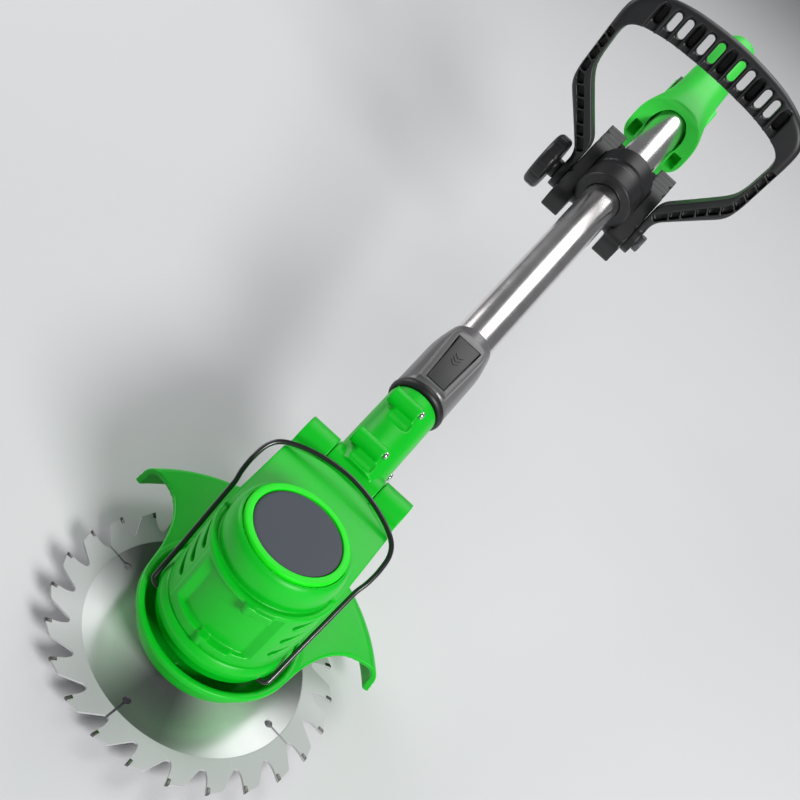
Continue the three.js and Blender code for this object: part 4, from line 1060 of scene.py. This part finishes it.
def build_clamp():
    s, h = CLAMP_S, CLAMP_H
    collar = turned(rounded([(0, s - 19, 0), (20, s - 19, 1.6), (20, s + 19, 1.6), (0, s + 19, 0)], 1, 5),
                    96, "y")
    ears = [prism(rectangle(-8.5, 8.5, s - 12, s + 12), h, -12), bar(12, -8.5, 8.5, (s, h), "x", 64, 0)]
    ring = fused(collar, *ears)
    band = pipe(19.2, 21, s - 3, s + 3)
    ring = cut(ring, bar(TUBE_ROOM, s - 40, s + 40, axis="y", segments=96, edge=0),
               prism(rectangle(-1.2, 1.2, s - 30, s + 30), -60, -8),
               bar(BOLT_ROOM, -20, 20, (s, h), "x", 40, 0), band)
    ring = moulded(ring, 0.6, 3, 0.6)
    piece(ring, "clamp_ring_shell", POLE, "clamp", BLACK, ["clamp_ring"], 60)
    flank = rounded([(s - 27, h - 9, 3), (s - 18, h - 13, 4), (s + 20, h - 13, 4), (s + 44, h - 2, 4),
                     (s + 49, h + 2, 4), (s + 49, h + 23, 5), (s + 18, h + 23, 5), (s + 8, h + 18, 4),
                     (s - 12, h + 12, 5), (s - 28, h + 8, 6)], 3, 6)
    body = prism(flank, BLOCK_INNER, BLOCK_OUTER, "yz")
    bridge = bar(10, 8.8, BLOCK_INNER + 1, (s, h), "x", 64, 0)
    flutes = [bar(2.4, h - 30, h + 40, (BLOCK_OUTER + 1, s + at), "z", 32, 0) for at in (-20, -7, 24, 36)]
    room = bar(20.3, s - 20, s + 20, axis="y", segments=96, edge=0)
    lip = [prism(rectangle(BLOCK_INNER - 1, BLOCK_OUTER + 1, s + at, s + at + 0.9), h + 20.8, h + 30)
           for at in (26, 31, 36, 41)]
    body = cut(fused(body, bridge), room, *flutes, *lip, bar(BOLT_ROOM, 0, 60, (s, h), "x", 40, 0))
    right = moulded(body, 0.6, 4, 0.6)
    left = mirrored_x(copied(right))
    piece(right, "clamp_side_block_right", POLE, "clamp", BLACK, ["clamp_block_right"], 60)
    piece(left, "clamp_side_block_left", POLE, "clamp", BLACK, ["clamp_block_left"], 60)


LOOP_OUTER = [(35.4, -1, 0), (35.4, 17.5, 6), (58, 40.5, 10), (67.6, 50, 8), (70, 60, 6), (72.6, 104, 12),
              (71.2, 114, 7), (65, 122, 7), (54, 128, 8), (36, 133, 14), (0, 136, 20)]
LOOP_INNER = [(29.8, -1, 0), (29.8, 29, 6), (50, 51, 8), (61, 63.5, 8), (63.6, 72, 6), (65.2, 93, 6),
              (63.6, 99, 4), (58, 103.6, 5), (48, 106, 8), (34, 108.4, 12), (0, 110, 20)]
KNOB_LOBES = 14
LOOP_HALF = 7.5  # half of the loop's thickness
ARM_MIDDLE = [(32.8, 20), (54.4, 45.4), (64.4, 56.6), (66.9, 66), (68.6, 92)]
SLOT_PLACES = (-42, -33.6, -17.8, -9.2, 7.6, 16, 31.8, 40.2)
BLIND_PLACES = (-51.4, -25.8, -0.8, 24, 49)
LOOP_BOW = 0.0011  # how fast the grip's curve falls away from its middle


def ribbon(line, width):
    """A strip of even width along an open line, as a closed outline."""
    sides = ([], [])
    for i, point in enumerate(line):
        ahead = Vector(line[min(i + 1, len(line) - 1)]) - Vector(line[max(i - 1, 0)])
        across = Vector((-ahead.y, ahead.x)).normalized() * width / 2
        sides[0].append(tuple(Vector(point) + across))
        sides[1].append(tuple(Vector(point) - across))
    return sides[0] + sides[1][::-1]


def arm_pockets(line, face):
    """The hollow between an arm's two flanges on one face, with a web and slanted ribs left standing."""
    web = 1.6
    low, high = (web, 9) if face > 0 else (-9, -web)
    pocket = prism(ribbon(line, 4.6), low, high, "xz")
    ribs = []
    travelled, pitch = 0, 8.6
    for start, stop in zip(line, line[1:]):
        travelled += (Vector(stop) - Vector(start)).length
        if travelled < pitch:
            continue
        travelled -= pitch
        place = Vector(stop)
        ahead = (place - Vector(start)).normalized()
        across = Vector((-ahead.y, ahead.x)) * 6 + ahead * 2
        corner = [place - across - ahead * 0.6, place + across - ahead * 0.6,
                  place + across + ahead * 0.6, place - across + ahead * 0.6]
        ribs.append(prism([tuple(c) for c in corner], low - 1, high + 1, "xz"))
    return cut(pocket, *ribs)


def grip_slot(x, low, high):
    drop = LOOP_BOW * x * x
    bottom, top = 113.6 - drop, 129.2 - 2 * drop
    outline = [(b + x, a + (bottom + top) / 2) for a, b in stadium(top - bottom, 5.4)]
    return prism(outline, low, high, "xz")


def grip_recess(x):
    """The shallow bay around a slot, open to the inside of the loop, so that ribs stand between bays."""
    drop = LOOP_BOW * x * x
    side, crown = 126.5 - 2 * drop, 130.8 - 2 * drop
    outline = [(x - 3.5, 100), (x + 3.5, 100), (x + 3.5, side), (x + 2, crown), (x - 2, crown),
               (x - 3.5, side)]
    return prism(outline, -20, -4.6, "xz")


def build_loop():
    outer = rounded([*LOOP_OUTER, *[(-p[0], *p[1:]) for p in LOOP_OUTER[-2::-1]]], 4, 6, closed=False)
    inner = rounded([*LOOP_INNER, *[(-p[0], *p[1:]) for p in LOOP_INNER[-2::-1]]], 4, 6, closed=False)
    loop = cut(rolled_plate(outer, LOOP_HALF, 4.5), prism(inner, -20, 20, "xz"))
    feet = [bar(11, low, low + 5.6, axis="x", segments=64, edge=0) for low in (29.8, -35.4)]
    line = spline(ARM_MIDDLE, 14)
    cuts = [arm_pockets([(side * x, u) for x, u in line], face) for side in (-1, 1) for face in (-1, 1)]
    cuts += [grip_slot(x, -20, 20) for x in SLOT_PLACES]
    cuts += [grip_slot(x, -20, 2.5) for x in BLIND_PLACES]
    cuts += [grip_recess(x) for x in SLOT_PLACES + BLIND_PLACES]
    loop = fused(loop, *feet)
    loop = cut(loop, *cuts, bar(BOLT_ROOM, -60, 60, axis="x", segments=40, edge=0))
    loop = moulded(loop, 0.6, 3, 0.6)
    piece(loop, "loop_handle_frame", LOOP, "loop_handle", BLACK, ["loop_handle"], 60)
    knob = turned(rounded([(0, -50.4, 0), (18.4, -50.4, 1.5), (20.3, -48, 1), (20.3, -41.6, 1),
                           (18.4, -39.8, 1), (7, -39.8, 1), (7, -35.7, 0.5), (0, -35.7, 0)], 1, 5), 96, "x")
    lobes = [bar(1.7, -52, -38, polar(21.4, 360 * k / KNOB_LOBES), "x", 20, 0) for k in range(KNOB_LOBES)]
    dish = turned(rounded([(0, -52), (13, -52), (12.4, -49.4, 1), (0, -49.2)], 0), 64, "x")
    knob = cut(knob, *lobes, dish)
    knob = moulded(knob, 0.5, 3, 0.6)
    piece(knob, "clamp_knob_grip", LOOP, "knob", BLACK, ["clamp_knob"], 60)
    bolt = bar(3, -45.6, 39, axis="x", segments=48, edge=0.6)
    threads = [turned(rounded([(2.5, x), (3.4, x - 0.35), (3.4, x + 0.35)], 0), 32, "x")
               for x in [30 + 0.9 * k for k in range(10)]]
    bolt = cut(bolt, *threads)
    piece(bolt, "clamp_through_bolt", LOOP, "knob", DARK_STEEL, ["clamp_bolt"])
    nut = hexagon(11.1, 35.8, 39.8, "x", BOLT_ROOM)
    piece(nut, "clamp_lock_nut", LOOP, "loop_handle", DARK_STEEL, ["clamp_nut"])


# ---- Stage -----------------------------------------------------------------------------------
# The stage is in metres and watts. Each light has a name, a place, a size and a power.
LIGHTS = [("key", (1.1, -0.9, 1.1), 0.6, 26), ("left", (-1.2, 0.5, 0.6), 0.8, 6),
          ("top", (0.25, 0.9, 1.3), 1.0, 5), ("back", (0.1, 1.7, 1.1), 0.9, 4)]
LIGHTS_AIM = Vector((0, 0.2, 0.05))
BACKDROP_SEEN, BACKDROP_CAST = 0.62, 0.16  # the backdrop's strength to the camera and to the object
FLOOR_DROP = 0.002  # the floor lies this far under the spindle's end
CAMERA_PLACE = (-0.0003, -0.3840, 0.4607)
CAMERA_TURN = (46.95, -33.27, 27.96)  # degrees


def build_stage():
    """A pale floor just under the spindle, a pale backdrop and soft area lights."""
    low, _ = CAD_BOX
    bpy.ops.mesh.primitive_plane_add(size=12, location=(0, 0.3, low[2] - FLOOR_DROP))
    floor = bpy.context.object
    floor.name = "floor"
    material, surface, *_ = shader("pale_floor", (0.78, 0.78, 0.79), 0, 0.9)
    surface.inputs["Specular IOR Level"].default_value = 0.1
    floor.data.materials.append(material)
    world = bpy.data.worlds.new("pale_world")
    bpy.context.scene.world = world
    world.use_nodes = True
    tree = world.node_tree
    backdrop = tree.nodes["Background"]
    backdrop.inputs["Color"].default_value = (0.93, 0.95, 1, 1)
    seen = tree.nodes.new("ShaderNodeLightPath").outputs["Is Camera Ray"]
    strength = ranged(tree.nodes.new, tree.links.new, seen, BACKDROP_CAST, BACKDROP_SEEN, 0, 1)
    tree.links.new(strength, backdrop.inputs["Strength"])
    for name, place, size, power in LIGHTS:
        data = bpy.data.lights.new(name, "AREA")
        data.shape = "DISK"
        data.size = size
        data.energy = power
        lamp = bpy.data.objects.new(name, data)
        lamp.location = place
        aim = LIGHTS_AIM - Vector(place)
        lamp.rotation_euler = aim.to_track_quat("-Z", "Y").to_euler()
        bpy.context.scene.collection.objects.link(lamp)


def build_camera():
    data = bpy.data.cameras.new("camera")
    data.lens = 54
    data.sensor_width = 36
    data.clip_start = 0.01
    camera = bpy.data.objects.new("camera", data)
    camera.location = CAMERA_PLACE
    camera.rotation_euler = [math.radians(a) for a in CAMERA_TURN]
    bpy.context.scene.collection.objects.link(camera)
    bpy.context.scene.camera = camera
    bpy.context.scene.view_settings.view_transform = "Standard"


build_blade()
build_head()
build_motor()
build_wire_guard()
build_neck()
build_pole()
build_handle()
build_battery()
build_clamp()
build_loop()
build_stage()
build_camera()
